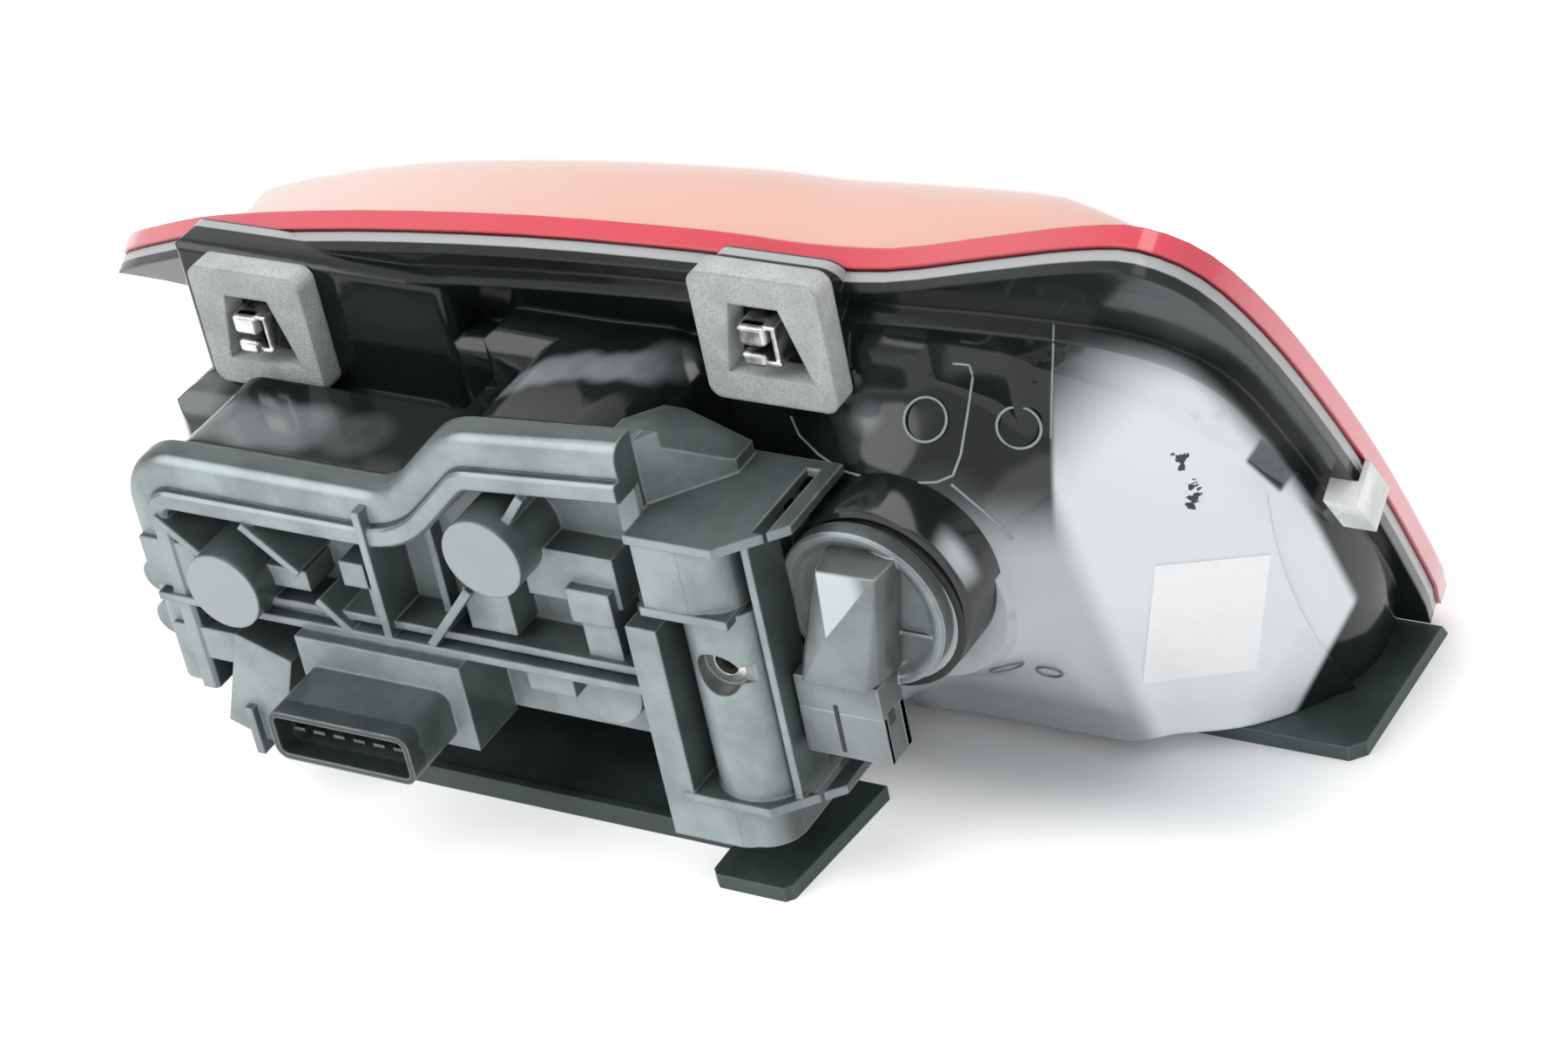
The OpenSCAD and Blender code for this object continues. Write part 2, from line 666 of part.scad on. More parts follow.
// Holder of the side bulb, locked by an eighth turn.
module turn_socket() {
  color([0.45, 0.48, 0.48]) seat() difference() {
    front(socket_front + socket_plate) translate(socket_centre) {
      cylinder(r = socket_ring, h = socket_plate);
      // grip
      translate([-9, -12, socket_plate - eps]) cube([16, 31, 6]);
      hull() {
        translate([-9, -12, socket_plate + 6 - 2 * eps]) cube([16, 31, 1]);
        translate([-3, -6, socket_plate + 6]) cube([4, 18, 4]);
      }
      // connector block
      translate([-15, -30, socket_plate - eps]) cube([19, 19, 8]);
      translate([-14, 10, socket_plate - eps]) cube([4, 2, 3]);
      translate([0, 0, -8]) cylinder(r = collar_bore - socket_gap, h = 8 + eps);
    }
    front(socket_front - 1.5) translate([socket_centre[0] - 13.5, socket_centre[1] - 31]) cube([16, 12, 5]);
    front(socket_front + socket_plate + 9) translate(socket_centre) cylinder(r = 9, h = 9);
  }
}

module socket_seal() {
  color([0.1, 0.1, 0.1]) seat() front(socket_front + socket_plate + 2) translate(socket_centre) difference() {
    cylinder(r = 19, h = 2);
    translate([0, 0, -1]) cylinder(r = collar_radius, h = 4);
  }
}

module side_cap() {
  color([0.75, 0.72, 0.6]) seat() front(socket_front + socket_plate + 18) translate(socket_centre) cylinder(r = 8.9, h = 18);
}

module side_glass() {
  color([0.95, 0.6, 0.2, 0.7]) seat() front(socket_front + socket_plate + 30) translate(socket_centre) {
    cylinder(r = 9.5, h = 12);
    sphere(9.5);
  }
}

module socket_pins() {
  color([0.8, 0.75, 0.55]) seat() for (x = [-8, -2])
    translate([socket_centre[0] + x, socket_front - 5, socket_centre[1] - 28]) cube([2.8, 0.8, 9]);
}

// Foam pads round the spring clips.
module pad(c, y) {
  front(y + pad_thick) translate(c) linear_extrude(pad_thick) difference() {
    rotate([0, 0, 0]) translate([-pad_side / 2, -pad_side / 2]) round_rect(0, 0, pad_side, pad_side, 3);
    polygon([[-6, 8], [5, 8], [10, -8], [-9, -8]]);
  }
}

module clip(c, y) {
  w = clip_width;
  h = clip_height;
  l = clip_depth + pad_thick + 2;
  front(y + pad_thick + clip_depth) translate([c[0] - w / 2, c[1] - h / 2]) {
    cube([w, clip_metal, l]);
    translate([0, h - clip_metal, 0]) cube([w, clip_metal, l]);
    translate([0, 0, l - clip_metal]) cube([w, h, clip_metal]);
  }
}

module pad_left() { color([0.55, 0.56, 0.56]) seat() pad(left_clip, left_clip_y); }

module pad_right() { color([0.55, 0.56, 0.56]) seat() pad(right_clip, right_clip_y); }

module clip_left() { color([0.7, 0.71, 0.72]) seat() clip(left_clip, left_clip_y); }

module clip_right() { color([0.7, 0.71, 0.72]) seat() clip(right_clip, right_clip_y); }

module edge_clip() {
  color([0.85, 0.86, 0.86]) seat() face() {
    translate([right_x - 6, 5, flange_thick]) cube([7, 13, 5]);
    translate([right_x - 0.1, 5, 0.3]) cube([1.1, 13, flange_thick]);
  }
}

module fixing_insert() {
  color([0.75, 0.73, 0.65]) seat() front(insert_y + insert_length) translate([column_x, column_z]) difference() {
    cylinder(d = insert_outside, h = insert_length);
    translate([0, 0, -1]) cylinder(d = insert_bore, h = insert_length + 2);
  }
}

// Thin patch on the bowl's skin.
module rating_label() {
  color([0.97, 0.97, 0.97]) seat() intersection() {
    difference() {
      hull() bowl(-0.35);
      hull() bowl(0);
    }
    translate(label_centre) rotate([0, 0, 30]) rotate([-16, 0, 0]) rotate([0, -7, 0])
      cube([label_side, 24, label_height], center = true);
  }
}

lens();
housing();
base_skirt();
reflector();
bulb_carrier();
carrier_seal();
cap_left();
cap_centre();
cap_lower();
glass_left();
glass_centre();
glass_lower();
contact_strip();
connector_pins();
turn_socket();
socket_seal();
side_cap();
side_glass();
socket_pins();
clip_left();
clip_right();
pad_left();
pad_right();
edge_clip();
fixing_insert();
rating_label();
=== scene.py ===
import math

import bmesh
import bpy
import numpy as np
from bpy.props import FloatProperty, FloatVectorProperty, IntProperty, PointerProperty
from mathutils import Matrix, Vector
from mathutils.bvhtree import BVHTree


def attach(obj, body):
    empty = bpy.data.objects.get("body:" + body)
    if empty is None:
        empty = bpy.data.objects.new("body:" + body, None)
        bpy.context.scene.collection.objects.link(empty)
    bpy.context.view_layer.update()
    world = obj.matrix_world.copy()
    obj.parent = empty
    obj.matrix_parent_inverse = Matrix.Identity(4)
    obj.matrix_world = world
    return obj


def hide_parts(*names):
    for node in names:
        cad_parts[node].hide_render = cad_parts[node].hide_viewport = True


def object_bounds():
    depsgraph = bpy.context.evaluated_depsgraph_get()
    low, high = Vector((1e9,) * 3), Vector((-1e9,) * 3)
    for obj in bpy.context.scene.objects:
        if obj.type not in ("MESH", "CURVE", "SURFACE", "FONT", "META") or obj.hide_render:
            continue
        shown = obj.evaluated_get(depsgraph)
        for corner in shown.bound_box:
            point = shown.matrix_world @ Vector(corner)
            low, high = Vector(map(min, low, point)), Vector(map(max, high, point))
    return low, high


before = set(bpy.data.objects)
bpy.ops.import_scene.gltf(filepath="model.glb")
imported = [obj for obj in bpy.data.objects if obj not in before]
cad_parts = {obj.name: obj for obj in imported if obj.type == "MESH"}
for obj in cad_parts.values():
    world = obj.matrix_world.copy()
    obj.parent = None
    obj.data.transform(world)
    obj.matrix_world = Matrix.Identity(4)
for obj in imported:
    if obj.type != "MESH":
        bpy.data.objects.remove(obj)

bl_info = {
    "name": "Rear lamp cluster",
    "version": (1, 0, 0),
    "blender": (4, 5, 0),
    "location": "View3D > Sidebar > Rear lamp",
    "description": "Dresses the packed rear lamp with its plastics, metal, foam and small moulded marks",
    "category": "Object",
}

CAD_BOX = [list(corner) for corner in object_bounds()]
MM = 0.001
# Axes of the frame: along the lamp to the right, towards the lens, and up.
RIGHT = Vector((1.0, 0.0, 0.0))
AHEAD = Vector((0.0, 1.0, 0.0))
UP = Vector((0.0, 0.0, 1.0))
# The frame's origin, in millimetres from the face centre of the left boss.
ORIGIN = Vector((116.5, 9.0, -1.0))
# The lens plane leans back by this angle; its middle line passes this point of the frame.
LEAN = math.radians(32.4)
RIM_POINT = Vector((-116.5, 84.0, 1.0)) * MM
# Where the camera stands, and its axes. The picture is taken as 1800 by 1200, and as this many pixels away.
EYE = Vector((0.421315, -0.545302, 0.490503))
EYE_RIGHT = Vector((0.857848, 0.481930, -0.178442))
EYE_UP = Vector((-0.148590, 0.565002, 0.811599))
EYE_BACK = Vector((0.491954, -0.669714, 0.556296))
PICTURE_MIDDLE = (900.0, 600.0)
PICTURE_AWAY = 5000.0
# Axes of the turn socket and of the collar round it, in millimetres from the left boss.
SOCKET_X, SOCKET_Z = 144.0, 8.0
COLLAR_X, COLLAR_Z = 144.8, 10.2
# Direction round the collar, up from the right, in which its side catches the light; a highlight is painted there.
COLLAR_HIGHLIGHT = math.radians(30)
# Skin between the collar and the bowl, in millimetres from the left boss: its cells, its sides, top and foot, the
# ball that rolls over it, its depth with nothing behind it, and how far it turns in under the lamp.
SKIN_STEP = 1.5
SKIN_SIDES = (112.0, 206.0)
SKIN_TOP, SKIN_FOOT = 46.5, -54.3
SKIN_BALL = 12.0
SKIN_BACKSTOP = 90.0
SKIN_TURN_IN = 12.0
# Its flare round the collar: where it starts, its slope and its left side. The housing counts from the edge on.
FLARE_DEPTH, FLARE_RADIUS, FLARE_SLOPE, FLARE_LEFT = 35.0, 19.0, 0.9, 122.0
COLLAR_EDGE = 22.0
# Its wall under the socket: its right side and top, its depth, and how far it curves in below the bend.
WALL_RIGHT, WALL_TOP = 172.0, -10.0
WALL_DEPTH, WALL_CURVE, WALL_BEND = 47.8, 24.5, -16.0
# Boundaries of the painted reflection on the big bowl: a direction, a distance and how soft each is.
BOWL_REFLECTION_EDGES = (
    ((0.88423, 0.44821, -0.13133), -0.06371, 0.0007),
    ((0.75277, 0.62870, 0.19513), -0.07004, 0.003),
    ((-0.87781, -0.06748, 0.47423), 0.10042, 0.0008),
    ((-0.74179, -0.61192, -0.27442), 0.11345, 0.0012),
    ((-0.58589, -0.67002, -0.45586), 0.10508, 0.003),
    ((-0.13086, -0.63718, -0.75953), 0.08023, 0.005),
    ((0.72798, -0.07515, -0.68146), -0.01343, 0.012),
)
# Sides of the dark notch in the bowl's painted reflection beside the edge clip, given in the same way.
NOTCH_EDGES = (
    ((0.83307, 0.03361, -0.55214), -0.06183, 0.0006),
    ((-0.51503, -0.67997, -0.52190), 0.10220, 0.0006),
    ((-0.82328, -0.00174, 0.56763), 0.06749, 0.0006),
    ((0.49101, 0.68655, 0.53625), -0.09553, 0.0006),
)
# Sides of the painted grey reflection between the turn socket and the bowl, given in the same way.
CHEEK_REFLECTION_EDGES = (
    ((0.19291, -0.54250, -0.81760), 0.02393, 0.008),
    ((1.0, 0.0, 0.0), -0.003, 0.007),
    ((-0.90571, -0.40723, 0.11768), 0.10180, 0.010),
)
# Dark chips, where the painted reflection on the bowl is broken: a place in the picture and a radius in millimetres.
BOWL_CHIPS = ((1355, 525, 0.7), (1359, 537, 0.6), (1368, 560, 0.8), (1371, 572, 0.8), (1366, 580, 0.5))
# Painted highlights on the chambers: a place in the picture, a radius and a margin in millimetres, a brightness.
HIGHLIGHT_TINT = (0.9, 0.97, 1.0)
CHAMBER_HIGHLIGHTS = (
    (225, 450, 4, 6, 0.16), (255, 480, 4, 6, 0.20), (300, 488, 5, 6, 0.22), (345, 492, 5, 6, 0.20),
    (330, 410, 3, 5, 0.07), (410, 500, 4, 6, 0.12), (590, 440, 3, 4, 0.20), (630, 425, 3, 4, 0.24),
    (665, 420, 3, 4, 0.24), (700, 422, 3, 4, 0.26), (735, 420, 3, 4, 0.24), (770, 412, 3, 4, 0.16),
    (1005, 478, 2, 4, 0.30), (1028, 500, 2, 4, 0.20), (1060, 520, 2, 5, 0.14), (985, 520, 2, 5, 0.12),
    (1085, 590, 4, 8, 0.12),
)
# Fine raised lines on the housing's edges and creases, pale as a painted highlight:
# a radius in millimetres and the line's corners in the picture.
HIGHLIGHT_LINES = (
    (0.28, ((908, 478), (918, 500), (940, 522), (968, 541), (1000, 550), (1040, 555), (1075, 554), (1094, 546),
            (1103, 522), (1110, 480), (1117, 432), (1113, 419), (1090, 417))),
    (0.30, ((1092, 556), (1112, 573), (1130, 588), (1148, 604), (1164, 622))),
    (0.25, ((1210, 372), (1209, 400), (1208, 430), (1207, 470), (1206, 510))),
)
# Round mould marks: a place in the picture, the radii of the ring and of its line in millimetres, and if it is pale.
# A pale ring carries a painted highlight; a dark one stands against the painted grey reflection.
MOULD_MARKS = (
    (1063, 482, 4.3, 0.30, True),
    (1170, 490, 4.3, 0.30, True),
    (1155, 765, 3.4, 0.22, False),
    (1205, 770, 2.6, 0.22, False),
)
# Raised lines: their sides, the steps between two corners, and a step in metres that breaks them.
WIRE_SIDES = 8
LINE_STEPS = 6
LINE_BREAK = 5 * MM
# Corners of the blank label in the picture, and its cells along each side.
LABEL_CORNERS = ((1326, 649), (1458, 636), (1442, 767), (1311, 784))
LABEL_CELLS = 16
# Middles of the spring clips' slots, in millimetres from the left boss.
CLIPS = (("clip_left", -14.5, 47.0, 32.0), ("clip_right", 120.0, 38.0, 55.5))
# Ray-cast trees of the housing and its skin, each made when it is first needed.
SURFACES = {}


def settings():
    """Finish of the lamp as the sidebar sets it."""
    return bpy.context.scene.rear_lamp


# Node helpers


def new_material(name, colour, roughness, metallic=0.0):
    """A material with its plain values on the shader's own sockets."""
    material = bpy.data.materials.new(name)
    material.use_nodes = True
    shader = material.node_tree.nodes["Principled BSDF"]
    preset(shader, {"Base Color": (*colour, 1.0), "Roughness": roughness, "Metallic": metallic})
    return material, material.node_tree, shader


def preset(node, values):
    """Sets a node's sockets to plain values."""
    for name, value in values.items():
        node.inputs[name].default_value = value


def link(tree, source, target):
    """Joins two sockets."""
    tree.links.new(source, target)


def coordinates(tree, kind):
    """Object for the place of a surface point in metres, or Normal for the way it faces."""
    return tree.nodes.new("ShaderNodeTexCoord").outputs[kind]


def calculated(tree, operation, first, second):
    """A calculation with two values or value sockets."""
    node = tree.nodes.new("ShaderNodeMath")
    node.operation = operation
    for i, value in enumerate((first, second)):
        if isinstance(value, float):
            node.inputs[i].default_value = value
        else:
            link(tree, value, node.inputs[i])
    return node.outputs["Value"]


def times(tree, first, second):
    """Product of two values or value sockets."""
    return calculated(tree, "MULTIPLY", first, second)


def dot_product(tree, first, second):
    """Product of a vector socket with a direction or with another vector socket."""
    node = tree.nodes.new("ShaderNodeVectorMath")
    node.operation = "DOT_PRODUCT"
    link(tree, first, node.inputs[0])
    if isinstance(second, bpy.types.NodeSocket):
        link(tree, second, node.inputs[1])
    else:
        node.inputs[1].default_value = second
    return node.outputs["Value"]


def object_point(tree, scale=(1.0, 1.0, 1.0)):
    """Place of a surface point, stretched along the axes."""
    mapping = tree.nodes.new("ShaderNodeMapping")
    mapping.inputs["Scale"].default_value = scale
    link(tree, coordinates(tree, "Object"), mapping.inputs["Vector"])
    return mapping.outputs["Vector"]


def noise(tree, point, size, detail=3.0, roughness=0.5):
    """Noise with cells of about the given size in metres."""
    node = tree.nodes.new("ShaderNodeTexNoise")
    preset(node, {"Scale": 1.0 / size, "Detail": detail, "Roughness": roughness})
    link(tree, point, node.inputs["Vector"])
    return node.outputs["Fac"]


def spread(tree, value, low, high, out_low=0.0, out_high=1.0, smooth=True):
    """Maps low..high of a value to out_low..out_high."""
    node = tree.nodes.new("ShaderNodeMapRange")
    node.interpolation_type = "SMOOTHSTEP" if smooth else "LINEAR"
    preset(node, {"From Min": low, "From Max": high, "To Min": out_low, "To Max": out_high})
    link(tree, value, node.inputs["Value"])
    return node.outputs["Result"]


def along(tree, direction, offset=0.0):
    """Distance in metres of a surface point along a direction of the frame."""
    return calculated(tree, "ADD", dot_product(tree, coordinates(tree, "Object"), direction), offset)


def behind_rim(tree):
    """Distance in metres of a surface point from the leaning rim plane, towards the back of the lamp."""
    across = Vector((0.0, -math.cos(LEAN), -math.sin(LEAN)))
    return along(tree, across, -across.dot(RIM_POINT))


def facing(tree, direction, low, high):
    """How far a surface faces a direction of the frame."""
    cosine = dot_product(tree, coordinates(tree, "Normal"), Vector(direction).normalized())
    return spread(tree, cosine, low, high)


def near(tree, centre, radius, soft, ragged=0.0):
    """One within a radius of a point of the frame, fading out over a soft margin, with a ragged rim if wanted."""
    place = coordinates(tree, "Object")
    far = tree.nodes.new("ShaderNodeVectorMath")
    far.operation = "DISTANCE"
    far.inputs[1].default_value = centre
    link(tree, place, far.inputs[0])
    distance = far.outputs["Value"]
    if ragged:
        wave = spread(tree, noise(tree, place, 0.0016, 4.0), 0.2, 0.8, -ragged, ragged, False)
        distance = calculated(tree, "ADD", distance, wave)
    return spread(tree, distance, radius + soft, radius)


def within(tree, edges):
    """One inside every one of a list of soft boundaries."""
    inside = None
    for direction, offset, soft in edges:
        side = spread(tree, along(tree, Vector(direction), offset), -soft, soft)
        inside = side if inside is None else times(tree, inside, side)
    return inside


def mix(tree, factor, first, second):
    """Colour between two colours or colour sockets."""
    node = tree.nodes.new("ShaderNodeMix")
    node.data_type = "RGBA"
    link(tree, factor, node.inputs[0])
    for slot, value in ((6, first), (7, second)):
        if isinstance(value, tuple):
            node.inputs[slot].default_value = (*value, 1.0)
        else:
            link(tree, value, node.inputs[slot])
    return node.outputs[2]


def tone(colour, factor):
    """Colour made lighter or darker."""
    return tuple(min(1.0, c * factor) for c in colour)


def rounded_edges(tree, radius):
    """Normal that rounds hard edges, as moulded edges are."""
    node = tree.nodes.new("ShaderNodeBevel")
    node.samples = 4
    node.inputs["Radius"].default_value = radius
    return node.outputs["Normal"]


def edge_band(tree, radius):
    """One along hard edges, where the rounded normal leaves the flat one."""
    flat = tree.nodes.new("ShaderNodeNewGeometry").outputs["Normal"]
    return spread(tree, dot_product(tree, rounded_edges(tree, radius), flat), 0.985, 0.90)


def bump(tree, height, distance, strength, normal=None):
    """Normal with a relief laid over it."""
    node = tree.nodes.new("ShaderNodeBump")
    preset(node, {"Strength": strength, "Distance": distance})
    link(tree, height, node.inputs["Height"])
    if normal is not None:
        link(tree, normal, node.inputs["Normal"])
    return node.outputs["Normal"]


# Materials


def moulded_plastic(
    name, colour, roughness, edge, grain=0.0006, depth=0.00004, front=None, edge_highlight=None, marks=(), facet_highlight=None
):
    """Moulded plastic with fine spark-eroded grain and uneven gloss.

    What faces the back of the lamp takes the front colour as painted light, with a painted highlight on the rounded
    tops above it; edges take the edge highlight colour as a painted highlight along them. Each mark is a centre, a
    radius and the colour of a spot painted on. The highlight on one flat is its direction and its colour."""
    material, tree, shader = new_material(name, colour, roughness)
    point = object_point(tree)
    cloud = noise(tree, point, 0.014, 5.0, 0.6)
    speckle = noise(tree, point, grain, 2.0)
    base = mix(tree, spread(tree, cloud, 0.3, 0.7), tone(colour, 0.8), tone(colour, 1.25))
    if front:
        pale = mix(tree, spread(tree, cloud, 0.32, 0.68), tone(front, 0.72), tone(front, 1.08))
        # painted light on what faces the back of the lamp, and a painted highlight on the rounded tops above it
        base = mix(tree, facing(tree, (0.1, -1.0, 0.05), 0.45, 1.0), base, pale)
        top_highlight = times(tree, facing(tree, (0.1, -0.66, 0.74), 0.93, 0.995), spread(tree, cloud, 0.2, 0.7, 0.55, 1.0))
        base = mix(tree, top_highlight, base, tone(front, 1.3))
    # spots painted over the surface, pale or dark
    for centre, radius, spot_colour in marks:
        base = mix(tree, near(tree, centre, radius, 0.0005), base, spot_colour)
    # painted highlight on one flat
    if facet_highlight:
        base = mix(tree, facing(tree, facet_highlight[0], 0.975, 0.992), base, facet_highlight[1])
    # painted highlight along the edges, patchy
    if edge_highlight:
        patchy = spread(tree, noise(tree, point, 0.005), 0.3, 0.6, 0.35, 0.9)
        base = mix(tree, times(tree, edge_band(tree, edge * 0.8), patchy), base, edge_highlight)
    link(tree, base, shader.inputs["Base Color"])
    link(tree, spread(tree, cloud, 0.25, 0.75, roughness - 0.08, roughness + 0.08), shader.inputs["Roughness"])
    link(tree, bump(tree, speckle, depth, 0.6, rounded_edges(tree, edge)), shader.inputs["Normal"])
    return material


def housing_plastic(look):
    """Polished black, with painted highlights and reflections on the flange, bowl, chambers and cheek."""
    colour = tuple(look.housing_colour)
    material, tree, shader = new_material("housing_black", colour, 0.12)
    point = object_point(tree)
    cloud = noise(tree, point, 0.03, 4.0, 0.55)
    height = behind_rim(tree)
    level = along(tree, UP)
    # painted highlight along the side of the rim flange
    flange = times(tree, spread(tree, height, 0.0027, 0.0023), spread(tree, height, 0.0002, 0.0006))
    # painted reflection of the white surroundings on the big bowl, paler towards its foot
    bowl = times(tree, within(tree, BOWL_REFLECTION_EDGES), spread(tree, height, 0.0052, 0.0065))
    sheen = mix(tree, spread(tree, level, -0.062, -0.01), tuple(look.bowl_foot_reflection_colour), tuple(look.bowl_reflection_colour))
    # the dark notch is left out of the painted reflection
    sheen = mix(tree, within(tree, NOTCH_EDGES), sheen, colour)
    for x, y, radius in BOWL_CHIPS:
        chip = near(tree, seen_on("housing", x, y)[0], radius * MM, 0.0004, 0.0022)
        sheen = mix(tree, chip, sheen, tone(colour, 3.0))
    black = mix(tree, spread(tree, cloud, 0.3, 0.7), tone(colour, 0.8), tone(colour, 1.3))
    # painted highlights on the chambers
    for x, y, radius, margin, brightness in CHAMBER_HIGHLIGHTS:
        spot = near(tree, seen_on("housing", x, y)[0], radius * MM, margin * MM)
        spot = times(tree, spot, spread(tree, cloud, 0.25, 0.7, 0.35, 1.0))
        black = mix(tree, spot, black, tone(HIGHLIGHT_TINT, brightness))
    # painted grey reflection between the turn socket and the bowl, darker towards its foot
    grey = mix(tree, spread(tree, level, -0.056, -0.02), tone(look.cheek_reflection_colour, 0.75), tuple(look.cheek_reflection_colour))
    black = mix(tree, within(tree, CHEEK_REFLECTION_EDGES), black, grey)
    skin = mix(tree, bowl, black, sheen)
    link(tree, mix(tree, flange, skin, tuple(look.flange_highlight_colour)), shader.inputs["Base Color"])
    link(tree, spread(tree, cloud, 0.25, 0.75, 0.08, 0.17), shader.inputs["Roughness"])
    preset(shader, {"Coat Weight": 0.06, "Coat Roughness": 0.06, "Specular IOR Level": 0.3})
    ripple = noise(tree, point, 0.012, 2.0)
    link(tree, bump(tree, ripple, 0.00025, 0.5, rounded_edges(tree, 0.0009)), shader.inputs["Normal"])
    return material


def lens_plastic(look):
    """Clear-coated red acrylic, with a pale painted reflection on the dome's upward faces, palest at the left."""
    colour = tuple(look.lens_colour)
    material, tree, shader = new_material("lens_red", colour, 0.08)
    point = object_point(tree)
    cloud = noise(tree, point, 0.05)
    height = behind_rim(tree)
    rim = spread(tree, height, -0.0052, -0.0038)
    dome = mix(tree, spread(tree, cloud, 0.3, 0.7), tone(colour, 0.94), tone(colour, 1.08))
    # painted reflection: the dome's upward faces turn pale, palest towards the left
    from_left = spread(tree, along(tree, RIGHT), -0.17, -0.02)
    painted_glare = mix(tree, from_left, tuple(look.lens_left_reflection_colour), tuple(look.lens_reflection_colour))
    upward_faces = times(tree, facing(tree, (0.0, -0.3, 0.95), 0.35, 0.75), spread(tree, height, -0.0042, -0.0052))
    dome = mix(tree, upward_faces, dome, painted_glare)
    link(tree, mix(tree, rim, dome, tuple(look.lens_rim_colour)), shader.inputs["Base Color"])
    link(tree, spread(tree, cloud, 0.2, 0.8, 0.06, 0.12), shader.inputs["Roughness"])
    preset(shader, {"Coat Weight": 1.0, "Coat Roughness": 0.03, "IOR": 1.49})
    ripple = noise(tree, point, 0.02, 1.0)
    link(tree, bump(tree, ripple, 0.0001, 0.3, rounded_edges(tree, 0.0008)), shader.inputs["Normal"])
    return material


def foam(look):
    """Closed-cell foam with small open pores and a faint nap."""
    colour = tuple(look.foam_colour)
    material, tree, shader = new_material("foam", colour, 0.82)
    point = object_point(tree)
    cells = tree.nodes.new("ShaderNodeTexVoronoi")
    cells.inputs["Scale"].default_value = 1.0 / 0.0007
    link(tree, point, cells.inputs["Vector"])
    cloud = noise(tree, point, 0.006, 4.0)
    base = mix(tree, spread(tree, cloud, 0.3, 0.7), tone(colour, 0.88), tone(colour, 1.1))
    pores = spread(tree, cells.outputs["Distance"], 0.1, 0.55)
    link(tree, mix(tree, pores, tone(colour, 0.8), base), shader.inputs["Base Color"])
    shader.inputs["Sheen Weight"].default_value = 0.15
    link(tree, bump(tree, pores, 0.00012, 0.6, rounded_edges(tree, 0.0012)), shader.inputs["Normal"])
    return material


def bare_metal(name, colour, roughness):
    """Stamped metal with rolling marks and dull patches."""
    material, tree, shader = new_material(name, colour, roughness, 1.0)
    point = object_point(tree, scale=(1.0, 14.0, 14.0))
    streaks = noise(tree, point, 0.01, 5.0)
    patches = noise(tree, object_point(tree), 0.004, 4.0)
    base = mix(tree, spread(tree, patches, 0.35, 0.7), tone(colour, 0.7), tone(colour, 1.1))
    link(tree, base, shader.inputs["Base Color"])
    link(tree, spread(tree, patches, 0.3, 0.7, roughness - 0.08, roughness + 0.14), shader.inputs["Roughness"])
    link(tree, bump(tree, streaks, 0.00003, 0.4, rounded_edges(tree, 0.0003)), shader.inputs["Normal"])
    return material


def bulb_glass(name, colour, clear):
    """Thin lamp glass with a slight haze."""
    material, tree, shader = new_material(name, colour, 0.05)
    haze = noise(tree, object_point(tree), 0.006)
    link(tree, mix(tree, spread(tree, haze, 0.3, 0.7), tone(colour, 0.92), colour), shader.inputs["Base Color"])
    link(tree, spread(tree, haze, 0.3, 0.8, 0.03, 0.1), shader.inputs["Roughness"])
    preset(shader, {"Transmission Weight": clear, "IOR": 1.45})
    return material


def paper(look):
    """Blank vinyl label, faintly mottled."""
    colour = tuple(look.label_colour)
    material, tree, shader = new_material("label_white", colour, 0.45)
    mottle = noise(tree, object_point(tree), 0.004, 4.0)
    link(tree, mix(tree, spread(tree, mottle, 0.3, 0.7), tone(colour, 0.97), colour), shader.inputs["Base Color"])
    link(tree, bump(tree, noise(tree, object_point(tree), 0.0009, 2.0), 0.00002, 0.4), shader.inputs["Normal"])
    return material


# Mesh helpers


def keep(name, mesh_data, material, replaced=()):
    """Turns a finished bmesh into a piece that rides on the lamp."""
    mesh = bpy.data.meshes.new(name)
    mesh_data.to_mesh(mesh)
    mesh_data.free()
    piece = bpy.data.objects.new(name, mesh)
    bpy.context.scene.collection.objects.link(piece)
    mesh.materials.append(material)
    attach(piece, "root")
    if replaced:
        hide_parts(*replaced)


def from_boss(point):
    """Point given in millimetres from the left boss, in the frame."""
    return (Vector(point) - ORIGIN) * MM


def shade_by_angle(mesh_data, degrees):
    """Smooth shading over edges gentler than an angle."""
    limit = math.radians(degrees)
    for face in mesh_data.faces:
        face.smooth = True
    for edge in mesh_data.edges:
        edge.smooth = len(edge.link_faces) == 2 and edge.calc_face_angle(0.0) < limit


def dressed(node, material, smooth_below):
    """Merged, smooth-shaded copy of a CAD node that stands for it."""
    mesh_data = bmesh.new()
    mesh_data.from_mesh(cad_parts[node].data)
    bmesh.ops.remove_doubles(mesh_data, verts=mesh_data.verts, dist=2e-6)
    bmesh.ops.dissolve_degenerate(mesh_data, edges=mesh_data.edges, dist=1e-6)
    shade_by_angle(mesh_data, smooth_below)
    keep(node + "_skin", mesh_data, material, (node,))


def meets(node, start, direction):
    """Place and normal where a straight line meets a CAD node."""
    if node not in SURFACES:
        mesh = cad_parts[node].data
        SURFACES[node] = BVHTree.FromPolygons([v.co for v in mesh.vertices], [p.vertices for p in mesh.polygons])
    place, normal, _, _ = SURFACES[node].ray_cast(start, direction)
    return place, normal


def seen_on(node, x, y):
    """Place and normal where the camera's line of sight through a point of the picture meets a CAD node."""
    across = (x - PICTURE_MIDDLE[0]) / PICTURE_AWAY
    above = (PICTURE_MIDDLE[1] - y) / PICTURE_AWAY
    return meets(node, EYE, (EYE_RIGHT * across + EYE_UP * above - EYE_BACK).normalized())


